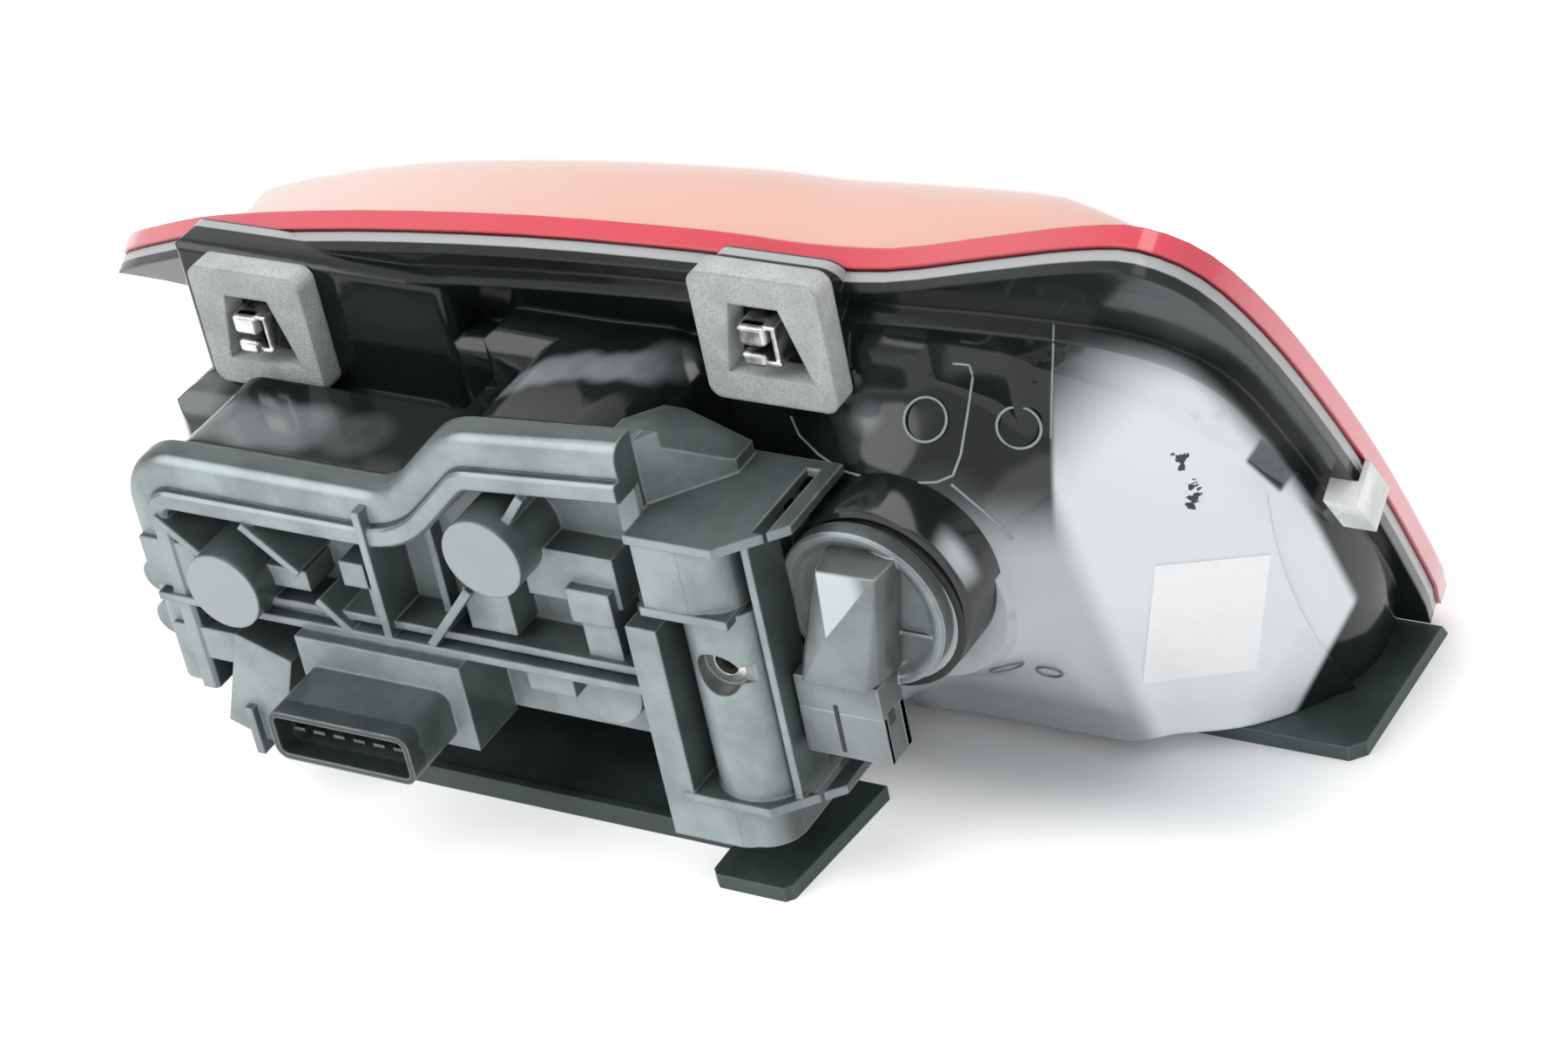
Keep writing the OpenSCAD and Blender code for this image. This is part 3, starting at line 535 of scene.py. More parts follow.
def seen_outermost(x, y):
    """Place seen on the housing or the skin over it, whichever is nearer, and the normal on the camera's side."""
    found = [seen_on("housing", x, y), seen_on("housing_cheek", x, y)]
    found = [(place, normal) for place, normal in found if place is not None]
    place, normal = min(found, key=lambda pair: (pair[0] - EYE).length)
    return place, normal if normal.dot(EYE - place) >= 0.0 else -normal


def mould_ring(name, place, normal, radius, wire, material):
    """Round raised line, as an ejector pin leaves in moulded plastic."""
    mesh_data = bmesh.new()
    stand = Matrix.Translation((radius, 0.0, 0.0)) @ Matrix.Rotation(math.radians(90), 4, "X")
    section = bmesh.ops.create_circle(mesh_data, segments=WIRE_SIDES, radius=wire, matrix=stand)
    bmesh.ops.spin(
        mesh_data, geom=section["verts"] + mesh_data.edges[:], cent=(0, 0, 0), axis=(0, 0, 1), angle=2 * math.pi,
        steps=settings().mark_rings, use_merge=True,
    )
    bmesh.ops.recalc_face_normals(mesh_data, faces=mesh_data.faces)
    for face in mesh_data.faces:
        face.smooth = True
    turn = normal.to_track_quat("Z", "Y").to_matrix().to_4x4()
    bmesh.ops.transform(mesh_data, matrix=Matrix.Translation(place) @ turn, verts=mesh_data.verts)
    keep(name, mesh_data, material)


def raised_line(name, corners, radius, material):
    """Thin round ridge along a line drawn in the picture, laid on the housing and broken where the surface steps."""
    places = []
    for start, end in zip(corners, corners[1:]):
        points = [Vector(start).lerp(Vector(end), k / LINE_STEPS) for k in range(LINE_STEPS)]
        places += [seen_outermost(*point)[0] for point in points]
    mesh_data = bmesh.new()
    last = None
    for i, place in enumerate(places):
        before, after = places[max(i - 1, 0)], places[min(i + 1, len(places) - 1)]
        turn = (after - before).to_track_quat("Z", "Y").to_matrix().to_4x4()
        stepped = (place - before).length > LINE_BREAK
        ends = i in (0, len(places) - 1) or stepped or (after - place).length > LINE_BREAK
        ring = bmesh.ops.create_circle(
            mesh_data, cap_ends=ends, segments=WIRE_SIDES, radius=radius, matrix=Matrix.Translation(place) @ turn
        )["verts"]
        if last and not stepped:
            for k in range(WIRE_SIDES):
                following = (k + 1) % WIRE_SIDES
                mesh_data.faces.new((last[k], last[following], ring[following], ring[k]))
        last = ring
    bmesh.ops.recalc_face_normals(mesh_data, faces=mesh_data.faces)
    for face in mesh_data.faces:
        face.smooth = len(face.verts) == 4
    keep(name, mesh_data, material)


def bevelled(mesh_data, edges, radius):
    """Rounds edges by a radius in millimetres."""
    bmesh.ops.bevel(
        mesh_data, geom=edges, offset=radius * MM, offset_type="OFFSET", segments=2, profile=0.5,
        affect="EDGES", material=-1, clamp_overlap=True,
    )


def box(mesh_data, low, high, bevel):
    """Bevelled box between two corners, in millimetres from the left boss."""
    made = bmesh.ops.create_cube(mesh_data, size=1.0)["verts"]
    low = from_boss(low)
    high = from_boss(high)
    size = Matrix.Diagonal((*(high - low), 1.0))
    bmesh.ops.transform(mesh_data, matrix=Matrix.Translation((low + high) / 2) @ size, verts=made)
    bevelled(mesh_data, list({e for v in made for e in v.link_edges}), bevel)


def hull(mesh_data, points, bevel):
    """Bevelled convex piece through points in millimetres from the left boss."""
    part = bmesh.new()
    for point in points:
        part.verts.new(from_boss(point))
    result = bmesh.ops.convex_hull(part, input=part.verts)
    inside = [v for v in result["geom_interior"] if isinstance(v, bmesh.types.BMVert)]
    bmesh.ops.delete(part, geom=inside, context="VERTS")
    bmesh.ops.dissolve_limit(part, angle_limit=math.radians(4), verts=part.verts, edges=part.edges)
    bevelled(part, part.edges[:], bevel)
    bmesh.ops.recalc_face_normals(part, faces=part.faces)
    join(mesh_data, part)


def join(mesh_data, part):
    """Adds a bmesh to another and frees it."""
    spare = bpy.data.meshes.new("spare")
    part.to_mesh(spare)
    part.free()
    mesh_data.from_mesh(spare)
    bpy.data.meshes.remove(spare)


def revolve(mesh_data, centre, profile):
    """Piece turned about the depth axis through a centre: each point is a radius and a depth."""
    part = bmesh.new()
    verts = [part.verts.new(from_boss((centre[0] + r, y, centre[2]))) for r, y in profile]
    edges = [part.edges.new(pair) for pair in zip(verts, verts[1:])]
    bmesh.ops.spin(
        part, geom=verts + edges, cent=from_boss(centre), axis=(0, 1, 0), angle=2 * math.pi, steps=72, use_merge=True
    )
    bmesh.ops.remove_doubles(part, verts=part.verts, dist=1e-6)
    bmesh.ops.recalc_face_normals(part, faces=part.faces)
    join(mesh_data, part)


def shifted(depths, i, j):
    """Height field moved by whole cells, with its border repeated."""
    rows = np.clip(np.arange(depths.shape[0]) + i, 0, depths.shape[0] - 1)
    columns = np.clip(np.arange(depths.shape[1]) + j, 0, depths.shape[1] - 1)
    return depths[np.ix_(rows, columns)]


def smoothed(field):
    """Height field blended with the cells round each."""
    total = field * 2.0
    for i, j in ((1, 0), (-1, 0), (0, 1), (0, -1)):
        total = total + shifted(field, i, j)
    return total / 6.0


def rolled(depths, step, radius):
    """Height field as a ball leaves it that rolls over it and bridges its inner corners."""
    reach = int(radius / step)
    ball = [
        (i, j, math.sqrt(radius ** 2 - (i * i + j * j) * step ** 2))
        for i in range(-reach, reach + 1)
        for j in range(-reach, reach + 1)
        if (i * i + j * j) * step ** 2 < radius ** 2
    ]
    centres = np.min([shifted(depths, i, j) - rise for i, j, rise in ball], axis=0)
    return np.max([shifted(centres, i, j) + rise for i, j, rise in ball], axis=0)


def cheek_depths(columns, heights):
    """Depth of the housing from behind, cell by cell, with a flare to the collar and a wall that turns in below.

    The second field says where there is something to lie on."""
    depths = np.full((len(heights), len(columns)), SKIN_BACKSTOP)
    solid = np.zeros(depths.shape, dtype=bool)
    for i, z in enumerate(heights):
        wall = WALL_DEPTH + WALL_CURVE * (max(0.0, WALL_BEND - z) / 38.4) ** 1.35
        for j, x in enumerate(columns):
            hit = meets("housing", from_boss((x, -20.0, z)), AHEAD)[0]
            from_collar = math.hypot(x - COLLAR_X, z - COLLAR_Z)
            walled = x < WALL_RIGHT and z < WALL_TOP
            if hit is not None and from_collar > COLLAR_EDGE:
                depths[i, j] = hit.y / MM + ORIGIN.y
            if x > FLARE_LEFT:
                flare = FLARE_DEPTH + FLARE_SLOPE * max(0.0, from_collar - FLARE_RADIUS)
                depths[i, j] = min(depths[i, j], flare)
            if walled:
                depths[i, j] = min(depths[i, j], wall)
            solid[i, j] = hit is not None or walled
    return depths, solid


def cheek(material):
    """Smooth skin over the housing between the turn socket's collar and the bowl, with its bottom turned in."""
    columns = np.arange(*SKIN_SIDES, SKIN_STEP)
    heights = np.append(np.arange(SKIN_TOP, SKIN_FOOT + 0.4, -SKIN_STEP), SKIN_FOOT)
    depths, solid = cheek_depths(columns, heights)
    skin = rolled(depths, SKIN_STEP, SKIN_BALL)
    bridged = np.clip(depths - skin, 0.0, 1.0)
    for _ in range(6):
        skin, bridged = smoothed(skin), smoothed(bridged)
    # over the last cells the border sinks under the CAD surface
    rim = np.minimum.outer(np.arange(len(heights)), np.arange(len(columns)))
    rim = np.minimum(rim, np.arange(len(columns))[::-1][None, :])
    blend = np.clip(rim / 10.0, 0.0, 1.0)
    skin = (skin - 0.1 - 0.35 * bridged) * blend + (depths + 0.12) * (1.0 - blend)
    rows = [[(x, skin[i, j], z) for j, x in enumerate(columns)] for i, z in enumerate(heights)]
    # the last row turns in under the lamp
    rows.append([(x, min(98.0, y + SKIN_TURN_IN), z) for x, y, z in rows[-1]])
    solid = np.vstack([solid, solid[-1:]])
    mesh_data = bmesh.new()
    grid = [[mesh_data.verts.new(from_boss(point)) for point in row] for row in rows]
    for k, (above, below) in enumerate(zip(grid, grid[1:])):
        for i in range(len(above) - 1):
            if solid[k:k + 2, i:i + 2].all():
                mesh_data.faces.new((above[i], above[i + 1], below[i + 1], below[i]))
    bmesh.ops.delete(mesh_data, geom=[v for v in mesh_data.verts if not v.link_faces], context="VERTS")
    bmesh.ops.recalc_face_normals(mesh_data, faces=mesh_data.faces)
    bmesh.ops.solidify(mesh_data, geom=mesh_data.faces[:], thickness=MM)
    bmesh.ops.recalc_face_normals(mesh_data, faces=mesh_data.faces)
    shade_by_angle(mesh_data, 60)
    SURFACES["housing_cheek"] = BVHTree.FromBMesh(mesh_data)
    keep("housing_cheek", mesh_data, material)


def coat_node(node, material):
    """Gives a CAD node its material."""
    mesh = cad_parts[node].data
    mesh.materials.clear()
    mesh.materials.append(material)


# Settings


def colour_property(name, description, default):
    """Setting for a colour."""
    return FloatVectorProperty(
        name=name, description=description, default=default, subtype="COLOR", size=3, min=0.0, max=1.0
    )


class RearLampSettings(bpy.types.PropertyGroup):
    """Colours and small sizes of the lamp's finish"""

    lens_colour: colour_property("Lens", "Colour of the lens dome", (0.62, 0.045, 0.05))
    lens_rim_colour: colour_property("Lens rim", "Colour of the lens rim", (0.70, 0.035, 0.065))
    # The lens reflection colours are painted reflections on the dome.
    lens_reflection_colour: colour_property("Lens haze", "Lens seen along its surface", (0.80, 0.46, 0.38))
    lens_left_reflection_colour: colour_property("Lens haze at the left", "Palest part of the lens", (0.86, 0.64, 0.57))
    housing_colour: colour_property("Housing", "Black of the housing", (0.010, 0.013, 0.013))
    # The bowl colours are painted reflections on the big bowl.
    bowl_reflection_colour: colour_property("Bowl", "Bright sheen of the big bowl", (0.80, 0.84, 0.86))
    bowl_foot_reflection_colour: colour_property("Bowl foot", "Sheen near the bowl's foot", (0.90, 0.94, 0.96))
    # A painted grey reflection between the turn socket and the bowl.
    cheek_reflection_colour: colour_property("Cheek", "Grey sheen between the turn socket and the bowl", (0.50, 0.53, 0.545))
    # A painted highlight on the side of the rim flange.
    flange_highlight_colour: colour_property("Flange", "Grey of the rim flange", (0.44, 0.455, 0.46))
    carrier_colour: colour_property("Carrier", "Colour of the bulb carrier", (0.068, 0.088, 0.086))
    # Painted light on what faces the back of the carrier.
    carrier_front_light_colour: colour_property("Carrier front", "Sheen of what faces backwards", (0.37, 0.43, 0.43))
    socket_colour: colour_property("Turn socket", "Colour of the side bulb's holder", (0.085, 0.100, 0.098))
    skirt_colour: colour_property("Skirt", "Colour of the lower skirt", (0.050, 0.074, 0.071))
    foam_colour: colour_property("Foam", "Colour of the foam pads", (0.50, 0.53, 0.52))
    label_colour: colour_property("Label", "Colour of the blank label", (0.98, 0.98, 0.98))
    floor_colour: colour_property("Floor", "Colour of the floor", (0.95, 0.955, 0.96))
    edge_radius: FloatProperty(
        name="Edge radius", description="Rounding of moulded edges", default=0.0006, min=0.0, max=0.002, unit="LENGTH"
    )
    key_power: FloatProperty(
        name="Key light", description="Power of the main soft light", default=9.0, min=0.0, max=60.0, unit="POWER"
    )
    focal_length: FloatProperty(
        name="Focal length", description="Focal length of the camera in millimetres", default=100.0, min=50.0, max=200.0
    )
    mark_rings: IntProperty(name="Mark rings", description="Sides of a round mould mark", default=32, min=12, max=64)


# Pieces


class REARLAMP_OT_lens(bpy.types.Operator):
    """Red lens with its smooth dome and flat rim"""

    bl_idname = "rearlamp.lens"
    bl_label = "Lens"

    def execute(self, context):
        dressed("lens", lens_plastic(settings()), 40)
        return {"FINISHED"}


class REARLAMP_OT_housing(bpy.types.Operator):
    """Glossy black housing"""

    bl_idname = "rearlamp.housing"
    bl_label = "Housing"

    def execute(self, context):
        plastic = housing_plastic(settings())
        dressed("housing", plastic, 32)
        cheek(plastic)
        # the pale lines and rings carry a painted highlight; the dark rings stand against the painted grey reflection
        line_highlight, _, _ = new_material("moulding_highlight", (0.30, 0.33, 0.335), 0.2)
        dark_line, _, _ = new_material("mould_shade", (0.14, 0.15, 0.155), 0.3)
        for index, (radius, corners) in enumerate(HIGHLIGHT_LINES, 1):
            raised_line(f"moulding_highlight_{index}", corners, radius * MM, line_highlight)
        for index, (x, y, radius, wire, pale) in enumerate(MOULD_MARKS, 1):
            place, normal = seen_outermost(x, y)
            line = line_highlight if pale else dark_line
            mould_ring(f"mould_mark_{index}", place + normal * 0.0004, normal, radius * MM, wire * MM, line)
        return {"FINISHED"}


class REARLAMP_OT_carrier(bpy.types.Operator):
    """Bulb carrier with its rounded rim, ribs, connector and latch column"""

    bl_idname = "rearlamp.carrier"
    bl_label = "Bulb carrier"

    def execute(self, context):
        look = settings()
        # painted highlights on the faces of the two bosses
        spots = [
            (from_boss((0, 0, 0)), 0.0086, (0.40, 0.44, 0.45)),
            (from_boss((70.2, 0, 21.4)), 0.0086, (0.38, 0.42, 0.42)),
        ]
        # darker spots low on the carrier's front, below its bottom rib
        spots += [
            (from_boss((x, -15, z)), 0.0045, (0.030, 0.042, 0.042)) for x in range(18, 52, 4) for z in (-27, -23, -17)
        ]
        # painted light on what faces the back, and painted highlights along the edges and on the rounded tops
        plastic = moulded_plastic(
            "carrier_plastic", tuple(look.carrier_colour), 0.34, 0.0009, front=tuple(look.carrier_front_light_colour),
            edge_highlight=(0.42, 0.46, 0.46), marks=spots,
        )
        dressed("bulb_carrier", plastic, 30)
        return {"FINISHED"}


class REARLAMP_OT_skirt(bpy.types.Operator):
    """Matte skirt that the lamp stands on"""

    bl_idname = "rearlamp.skirt"
    bl_label = "Skirt"

    def execute(self, context):
        look = settings()
        # painted highlight along the skirt's edges
        plastic = moulded_plastic(
            "skirt_black", tuple(look.skirt_colour), 0.5, look.edge_radius, 0.0012, 0.00006, edge_highlight=(0.20, 0.23, 0.23)
        )
        dressed("base_skirt", plastic, 30)
        return {"FINISHED"}


class REARLAMP_OT_turn_socket(bpy.types.Operator):
    """Holder of the side bulb with its grip and connector block"""

    bl_idname = "rearlamp.turn_socket"
    bl_label = "Turn socket"

    def execute(self, context):
        look = settings()
        # painted light on what faces the back, and painted highlights along the edges, on the rounded tops and on the
        # grip's upper flat
        plastic = moulded_plastic(
            "socket_plastic", tuple(look.socket_colour), 0.36, 0.0007, front=(0.27, 0.305, 0.305),
            edge_highlight=(0.55, 0.59, 0.59), facet_highlight=((-0.009, -0.915, 0.403), (0.62, 0.67, 0.68)),
        )
        x, z = SOCKET_X, SOCKET_Z
        mesh_data = bmesh.new()
        # ring with a raised edge and a sunk face, its neck and the bulb's bore
        revolve(mesh_data, (x - 1.2, 0, z + 1.4), (
            (0.0, 21.4), (13.2, 21.4), (14.6, 20.9), (15.6, 20.0), (16.4, 19.6), (17.3, 19.6), (17.9, 20.1),
            (18.0, 23.4), (13.6, 23.6), (13.6, 31.4), (9.2, 31.4), (9.2, 23.0), (0.0, 23.0),
        ))
        # grip, turned with the ring in its lock
        hull(mesh_data, [
            (x - 6.6, 20.9, z + 15.2), (x + 9.3, 20.9, z + 15.6), (x - 13.6, 20.9, z - 11.6), (x + 5.0, 20.9, z - 11.2),
            (x - 5.6, 13.4, z + 14.4), (x + 7.8, 13.4, z + 14.7), (x - 2.6, 8.2, z + 2.4),
            (x - 11.6, 10.4, z - 11.3), (x + 2.6, 10.4, z - 10.9),
            (x - 13.2, 12.6, z - 10.6), (x + 4.6, 12.6, z - 10.0),
        ], 0.35)
        # connector block, open below
        box(mesh_data, (x - 15, 12, z - 19), (x + 4, 20.5, z - 11.2), 0.5)
        box(mesh_data, (x - 15, 12, z - 30), (x + 4, 13.5, z - 18.8), 0.3)
        box(mesh_data, (x - 15, 18.5, z - 30), (x + 4, 20.5, z - 18.8), 0.3)
        box(mesh_data, (x - 15, 12.2, z - 30), (x - 13.5, 20.3, z - 18.8), 0.3)
        box(mesh_data, (x + 2.5, 12.2, z - 30), (x + 4, 20.3, z - 18.8), 0.3)
        # thin rib on the sunk face
        box(mesh_data, (x + 5, 20.4, z - 3.4), (x + 15, 21.6, z - 2.6), 0.2)
        shade_by_angle(mesh_data, 32)
        keep("turn_socket_body", mesh_data, plastic, ("turn_socket",))

        # painted shade: dark strips that stand for the shade inside the connector block's slots
        dark, _, _ = new_material("socket_slot_shade", (0.02, 0.027, 0.027), 0.6)
        mesh_data = bmesh.new()
        box(mesh_data, (x - 6.9, 11.8, z - 28.5), (x - 5.9, 12.4, z - 17.0), 0.2)
        box(mesh_data, (x + 3.6, 14.0, z - 21.5), (x + 4.15, 16.4, z - 18.6), 0.2)
        keep("socket_slot_shade", mesh_data, dark)

        black = (0.012, 0.016, 0.016)
        gloss, tree, shader = new_material("collar_gloss", black, 0.12)
        # painted highlight on the collar's lit side, towards its end nearest the back of the lamp
        lit_side = facing(tree, (math.cos(COLLAR_HIGHLIGHT), 0.0, math.sin(COLLAR_HIGHLIGHT)), 0.90, 0.99)
        outer_end = spread(tree, along(tree, AHEAD, -from_boss((0, 31, 0)).y), 0.001, -0.004)
        shine = mix(tree, times(tree, lit_side, outer_end), black, (0.62, 0.66, 0.67))
        link(tree, shine, shader.inputs["Base Color"])
        mesh_data = bmesh.new()
        revolve(mesh_data, (COLLAR_X, 0, COLLAR_Z), (
            (17.7, 26.0), (17.7, 24.2), (18.4, 23.7), (19.4, 24.0),
            (19.9, 24.8), (20.2, 46.0), (18.0, 46.0), (17.7, 26.0),
        ))
        shade_by_angle(mesh_data, 40)
        keep("socket_collar", mesh_data, gloss)
        return {"FINISHED"}


class REARLAMP_OT_pads(bpy.types.Operator):
    """Foam pads round the spring clips"""

    bl_idname = "rearlamp.pads"
    bl_label = "Foam pads"

    def execute(self, context):
        material = foam(settings())
        for node in ("pad_left", "pad_right"):
            dressed(node, material, 40)
        return {"FINISHED"}


class REARLAMP_OT_clips(bpy.types.Operator):
    """Spring clips and the bright clip on the rim"""

    bl_idname = "rearlamp.clips"
    bl_label = "Clips"

    def execute(self, context):
        zinc = bare_metal("zinc", (0.72, 0.72, 0.70), 0.28)
        for node, x, y, z in CLIPS:
            mesh_data = bmesh.new()
            # two legs in the slot, and two noses with a gap between them
            box(mesh_data, (x - 4, y - 1, z + 3.5), (x + 4, y + 14, z + 4.5), 0.3)
            box(mesh_data, (x - 4, y - 1, z - 4.5), (x + 4, y + 14, z - 3.5), 0.3)
            box(mesh_data, (x - 4, y - 2, z + 0.2), (x + 2, y + 1.2, z + 4.5), 0.7)
            box(mesh_data, (x - 4, y - 2, z - 4.5), (x + 1.2, y + 1.2, z - 1.6), 0.7)
            box(mesh_data, (x + 2.6, y - 0.5, z - 4.0), (x + 3.6, y + 10, z + 4.0), 0.3)
            bmesh.ops.recalc_face_normals(mesh_data, faces=mesh_data.faces)
            keep(node + "_spring", mesh_data, zinc, (node,))
        bright = moulded_plastic("bright_clip", (0.80, 0.82, 0.81), 0.3, 0.0005)
        dressed("edge_clip", bright, 30)
        return {"FINISHED"}


class REARLAMP_OT_contacts(bpy.types.Operator):
    """Blades, contact strip and threaded insert"""

    bl_idname = "rearlamp.contacts"
    bl_label = "Contacts and insert"

    def execute(self, context):
        brass = bare_metal("brass", (0.70, 0.60, 0.38), 0.3)
        # tin darkened as painted shade for the pins, which sit deep in the connectors
        tin = bare_metal("tin_in_painted_shade", (0.16, 0.17, 0.16), 0.45)
        for node, metal in (("connector_pins", tin), ("socket_pins", tin), ("contact_strip", brass)):
            coat_node(node, metal)
        dressed("fixing_insert", bare_metal("insert_steel", (0.80, 0.79, 0.74), 0.22), 30)
        return {"FINISHED"}


class REARLAMP_OT_bulbs(bpy.types.Operator):
    """Bulbs, reflector and seals inside the lamp"""

    bl_idname = "rearlamp.bulbs"
    bl_label = "Bulbs, reflector and seals"

    def execute(self, context):
        cap = bare_metal("bulb_cap", (0.72, 0.66, 0.50), 0.3)
        clear = bulb_glass("bulb_glass", (0.95, 0.97, 0.98), 0.95)
        amber = bulb_glass("bulb_amber", (0.95, 0.50, 0.08), 0.85)
        for node in ("cap_left", "cap_centre", "cap_lower", "side_cap"):
            dressed(node, cap, 35)
        for node in ("glass_left", "glass_centre", "glass_lower"):
            dressed(node, clear, 35)
        dressed("side_glass", amber, 35)
        coat_node("reflector", bare_metal("reflector", (0.86, 0.86, 0.88), 0.15))
        rubber = moulded_plastic("seal_rubber", (0.025, 0.027, 0.027), 0.62, 0.0004, 0.0008, 0.00005)
        coat_node("carrier_seal", rubber)
        dressed("socket_seal", rubber, 35)
        return {"FINISHED"}


class REARLAMP_OT_label(bpy.types.Operator):
    """Blank white label on the bowl"""

    bl_idname = "rearlamp.label"
    bl_label = "Blank label"

    def execute(self, context):
        corners = [Vector(corner) for corner in LABEL_CORNERS]
        mesh_data = bmesh.new()
        # each crossing of the patch is a pair of points, one above and one below the bowl's surface
        rows = []
        for i in range(LABEL_CELLS + 1):
            left = corners[0].lerp(corners[3], i / LABEL_CELLS)
            right = corners[1].lerp(corners[2], i / LABEL_CELLS)
            row = []
            for j in range(LABEL_CELLS + 1):
                place, normal = seen_outermost(*left.lerp(right, j / LABEL_CELLS))
                row.append([mesh_data.verts.new(place + normal * height) for height in (0.00035, -0.0001)])
            rows.append(row)
        for i in range(LABEL_CELLS):
            for j in range(LABEL_CELLS):
                loop = rows[i][j], rows[i + 1][j], rows[i + 1][j + 1], rows[i][j + 1]
                mesh_data.faces.new([pair[0] for pair in loop])
                mesh_data.faces.new([pair[1] for pair in reversed(loop)])
        rim = rows[0][:-1] + [row[-1] for row in rows[:-1]] + rows[-1][:0:-1] + [row[0] for row in rows[:0:-1]]
        for first, second in zip(rim, rim[1:] + rim[:1]):
            mesh_data.faces.new((first[0], second[0], second[1], first[1]))
        bmesh.ops.recalc_face_normals(mesh_data, faces=mesh_data.faces)
        keep("blank_label", mesh_data, paper(settings()), ("rating_label",))
        return {"FINISHED"}


# Stage


def soft_light(name, place, size, power):
    """Rectangular light that looks at the middle of the lamp."""
    data = bpy.data.lights.new(name, "AREA")
    data.shape = "RECTANGLE"
    data.size, data.size_y = size
    data.energy = power
    lamp = bpy.data.objects.new(name, data)
    aim = (Vector((-0.04, 0.03, 0.0)) - Vector(place)).to_track_quat("-Z", "Y")
    lamp.matrix_world = Matrix.Translation(place) @ aim.to_matrix().to_4x4()
    bpy.context.scene.collection.objects.link(lamp)


def white_for_the_camera(tree, shading, amount):
    """Adds plain white that only the camera and gloss see."""
    path = tree.nodes.new("ShaderNodeLightPath")
    glow = tree.nodes.new("ShaderNodeEmission")
    glow.inputs["Color"].default_value = (1.0, 1.0, 1.0, 1.0)
    seen = calculated(tree, "MAXIMUM", path.outputs["Is Camera Ray"], path.outputs["Is Glossy Ray"])
    link(tree, times(tree, seen, amount), glow.inputs["Strength"])
    add = tree.nodes.new("ShaderNodeAddShader")
    link(tree, shading, add.inputs[0])
    link(tree, glow.outputs[0], add.inputs[1])
    return add.outputs[0]


def lay_floor(colour):
    """Pale floor under the lamp, white to the camera away from a painted shadow zone under it."""
    floor_data = bmesh.new()
    bmesh.ops.create_grid(floor_data, x_segments=2, y_segments=2, size=3.0)
    bmesh.ops.translate(floor_data, verts=floor_data.verts, vec=(0.0, 0.0, CAD_BOX[0][2]))
    mesh = bpy.data.meshes.new("floor")
    floor_data.to_mesh(mesh)
    floor_data.free()
    floor = bpy.data.objects.new("floor", mesh)
    bpy.context.scene.collection.objects.link(floor)
    material, tree, shader = new_material("floor_paper", colour, 0.7)
    shader.inputs["Specular IOR Level"].default_value = 0.2
    across, ahead = along(tree, RIGHT), along(tree, AHEAD)
    # painted shadow zone under the lamp, where little white is added and the floor stays darker
    under = times(tree, spread(tree, across, 0.14, 0.06), spread(tree, across, -0.17, -0.10))
    under = times(tree, under, spread(tree, ahead, 0.022, 0.052))
    under = times(tree, under, spread(tree, ahead, 0.20, 0.12))
    amount = spread(tree, under, 0.0, 1.0, 0.50, 0.03, False)
    surface = white_for_the_camera(tree, shader.outputs["BSDF"], amount)
    link(tree, surface, tree.nodes["Material Output"].inputs["Surface"])
    mesh.materials.append(material)


def white_studio():
    """Surroundings that look white, also in gloss and glass, and light the lamp more dimly."""
    world = bpy.data.worlds.new("studio")
    bpy.context.scene.world = world
    world.use_nodes = True
    tree = world.node_tree
    ambient = tree.nodes["Background"]
    preset(ambient, {"Color": (0.96, 0.98, 1.0, 1.0), "Strength": 0.42})
    white = tree.nodes.new("ShaderNodeBackground")
    preset(white, {"Color": (1.0, 1.0, 1.0, 1.0), "Strength": 1.0})
    path = tree.nodes.new("ShaderNodeLightPath")
    mirrored = calculated(tree, "MAXIMUM", path.outputs["Is Glossy Ray"], path.outputs["Is Transmission Ray"])
    seen = calculated(tree, "MAXIMUM", path.outputs["Is Camera Ray"], mirrored)
    choose = tree.nodes.new("ShaderNodeMixShader")
    for socket, source in zip(choose.inputs, (seen, ambient.outputs[0], white.outputs[0])):
        link(tree, source, socket)
    link(tree, choose.outputs[0], tree.nodes["World Output"].inputs["Surface"])


def place_camera(focal_length):
    """Camera that stands where the photograph was taken."""
    camera_data = bpy.data.cameras.new("camera")
    camera_data.sensor_width = 36.0
    camera_data.lens = focal_length
    camera_data.clip_start = 0.05
    camera_data.clip_end = 20.0
    camera = bpy.data.objects.new("camera", camera_data)
    place = Matrix((EYE_RIGHT, EYE_UP, EYE_BACK)).transposed().to_4x4()
    place.translation = EYE
    camera.matrix_world = place
    bpy.context.scene.collection.objects.link(camera)
    bpy.context.scene.camera = camera


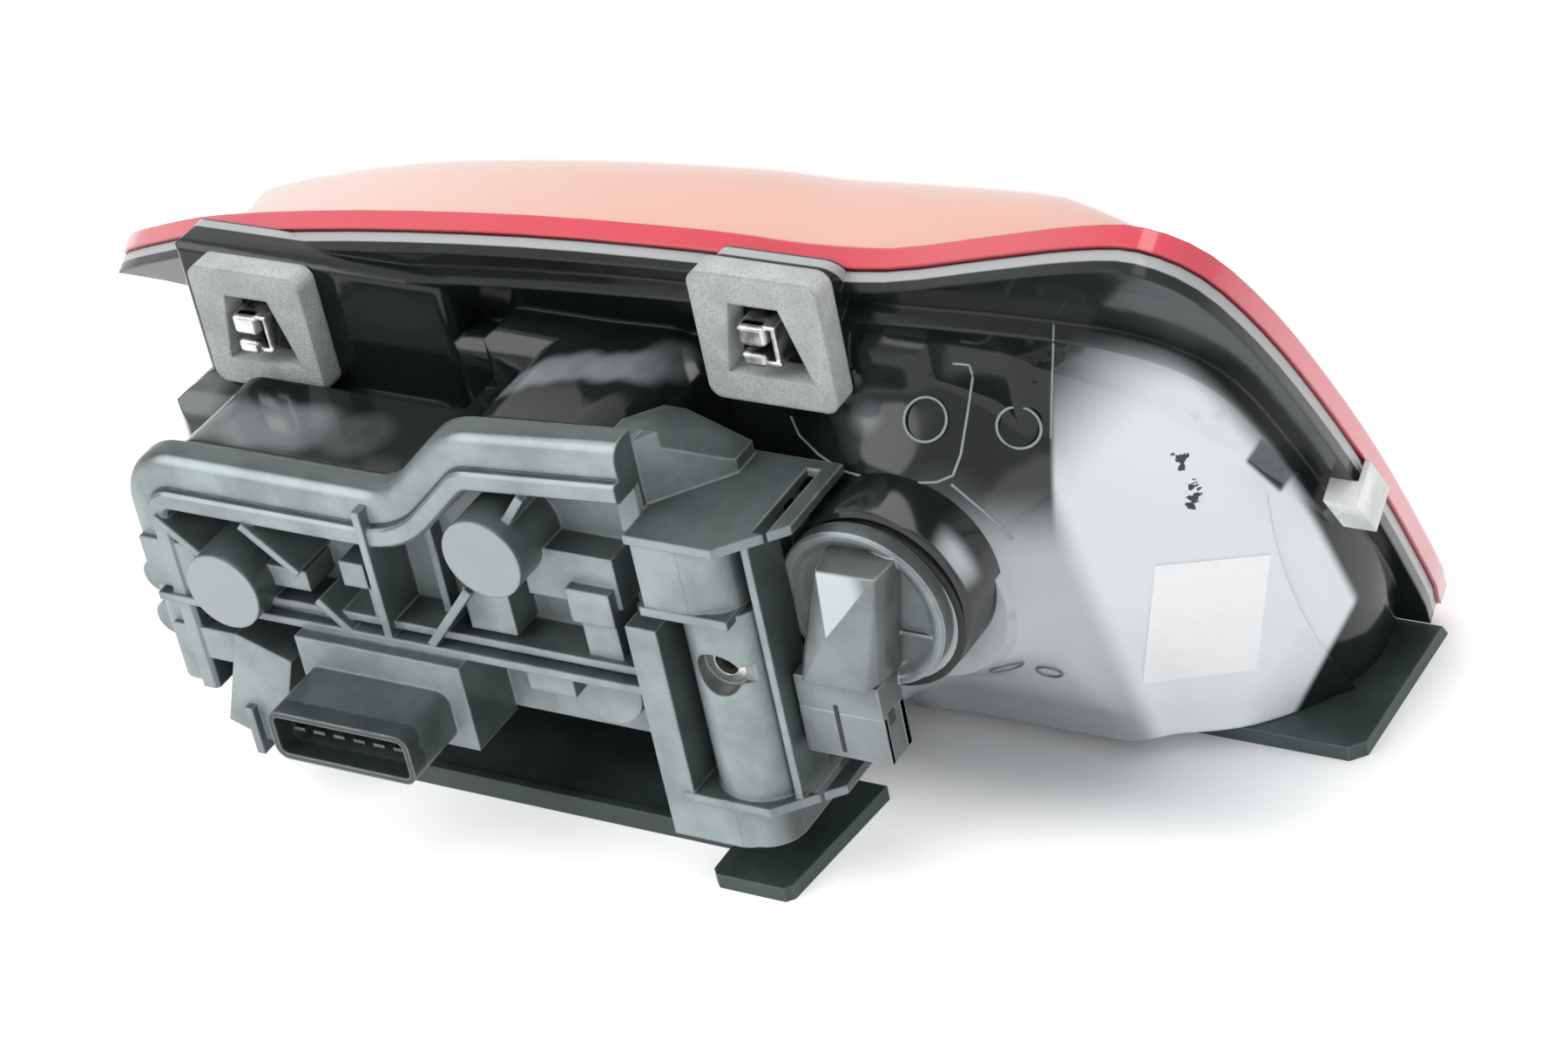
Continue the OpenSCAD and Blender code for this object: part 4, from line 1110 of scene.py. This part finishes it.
class REARLAMP_OT_stage(bpy.types.Operator):
    """Pale floor, soft studio light, white surroundings and the camera"""

    bl_idname = "rearlamp.stage"
    bl_label = "Stage"

    def execute(self, context):
        look = settings()
        lay_floor(tuple(look.floor_colour))
        white_studio()
        soft_light("key", (-0.75, -0.75, 0.95), (0.9, 0.9), look.key_power)
        soft_light("top", (0.1, 0.25, 1.3), (1.2, 1.0), look.key_power * 0.9)
        soft_light("fill", (1.0, -0.7, 0.4), (0.8, 0.8), look.key_power * 0.35)
        place_camera(look.focal_length)
        context.scene.view_settings.view_transform = "Standard"
        return {"FINISHED"}


class REARLAMP_PT_panel(bpy.types.Panel):
    """Finish of the rear lamp"""

    bl_idname = "REARLAMP_PT_panel"
    bl_label = "Rear lamp"
    bl_space_type = "VIEW_3D"
    bl_region_type = "UI"
    bl_category = "Rear lamp"

    def draw(self, context):
        look = context.scene.rear_lamp
        column = self.layout.column()
        for name in RearLampSettings.__annotations__:
            column.prop(look, name)
        for operator in OPERATORS:
            column.operator(operator.bl_idname)


OPERATORS = (
    REARLAMP_OT_lens,
    REARLAMP_OT_housing,
    REARLAMP_OT_carrier,
    REARLAMP_OT_skirt,
    REARLAMP_OT_turn_socket,
    REARLAMP_OT_pads,
    REARLAMP_OT_clips,
    REARLAMP_OT_contacts,
    REARLAMP_OT_bulbs,
    REARLAMP_OT_label,
    REARLAMP_OT_stage,
)


def register():
    """Adds the settings, operators and panel."""
    for kind in (RearLampSettings, *OPERATORS, REARLAMP_PT_panel):
        bpy.utils.register_class(kind)
    bpy.types.Scene.rear_lamp = PointerProperty(type=RearLampSettings)


def unregister():
    """Takes them out again."""
    del bpy.types.Scene.rear_lamp
    for kind in reversed((RearLampSettings, *OPERATORS, REARLAMP_PT_panel)):
        bpy.utils.unregister_class(kind)


def main():
    """Builds every piece and the stage."""
    register()
    bpy.ops.rearlamp.lens()
    bpy.ops.rearlamp.housing()
    bpy.ops.rearlamp.carrier()
    bpy.ops.rearlamp.skirt()
    bpy.ops.rearlamp.turn_socket()
    bpy.ops.rearlamp.pads()
    bpy.ops.rearlamp.clips()
    bpy.ops.rearlamp.contacts()
    bpy.ops.rearlamp.bulbs()
    bpy.ops.rearlamp.label()
    bpy.ops.rearlamp.stage()


if __name__ == "__main__":
    main()
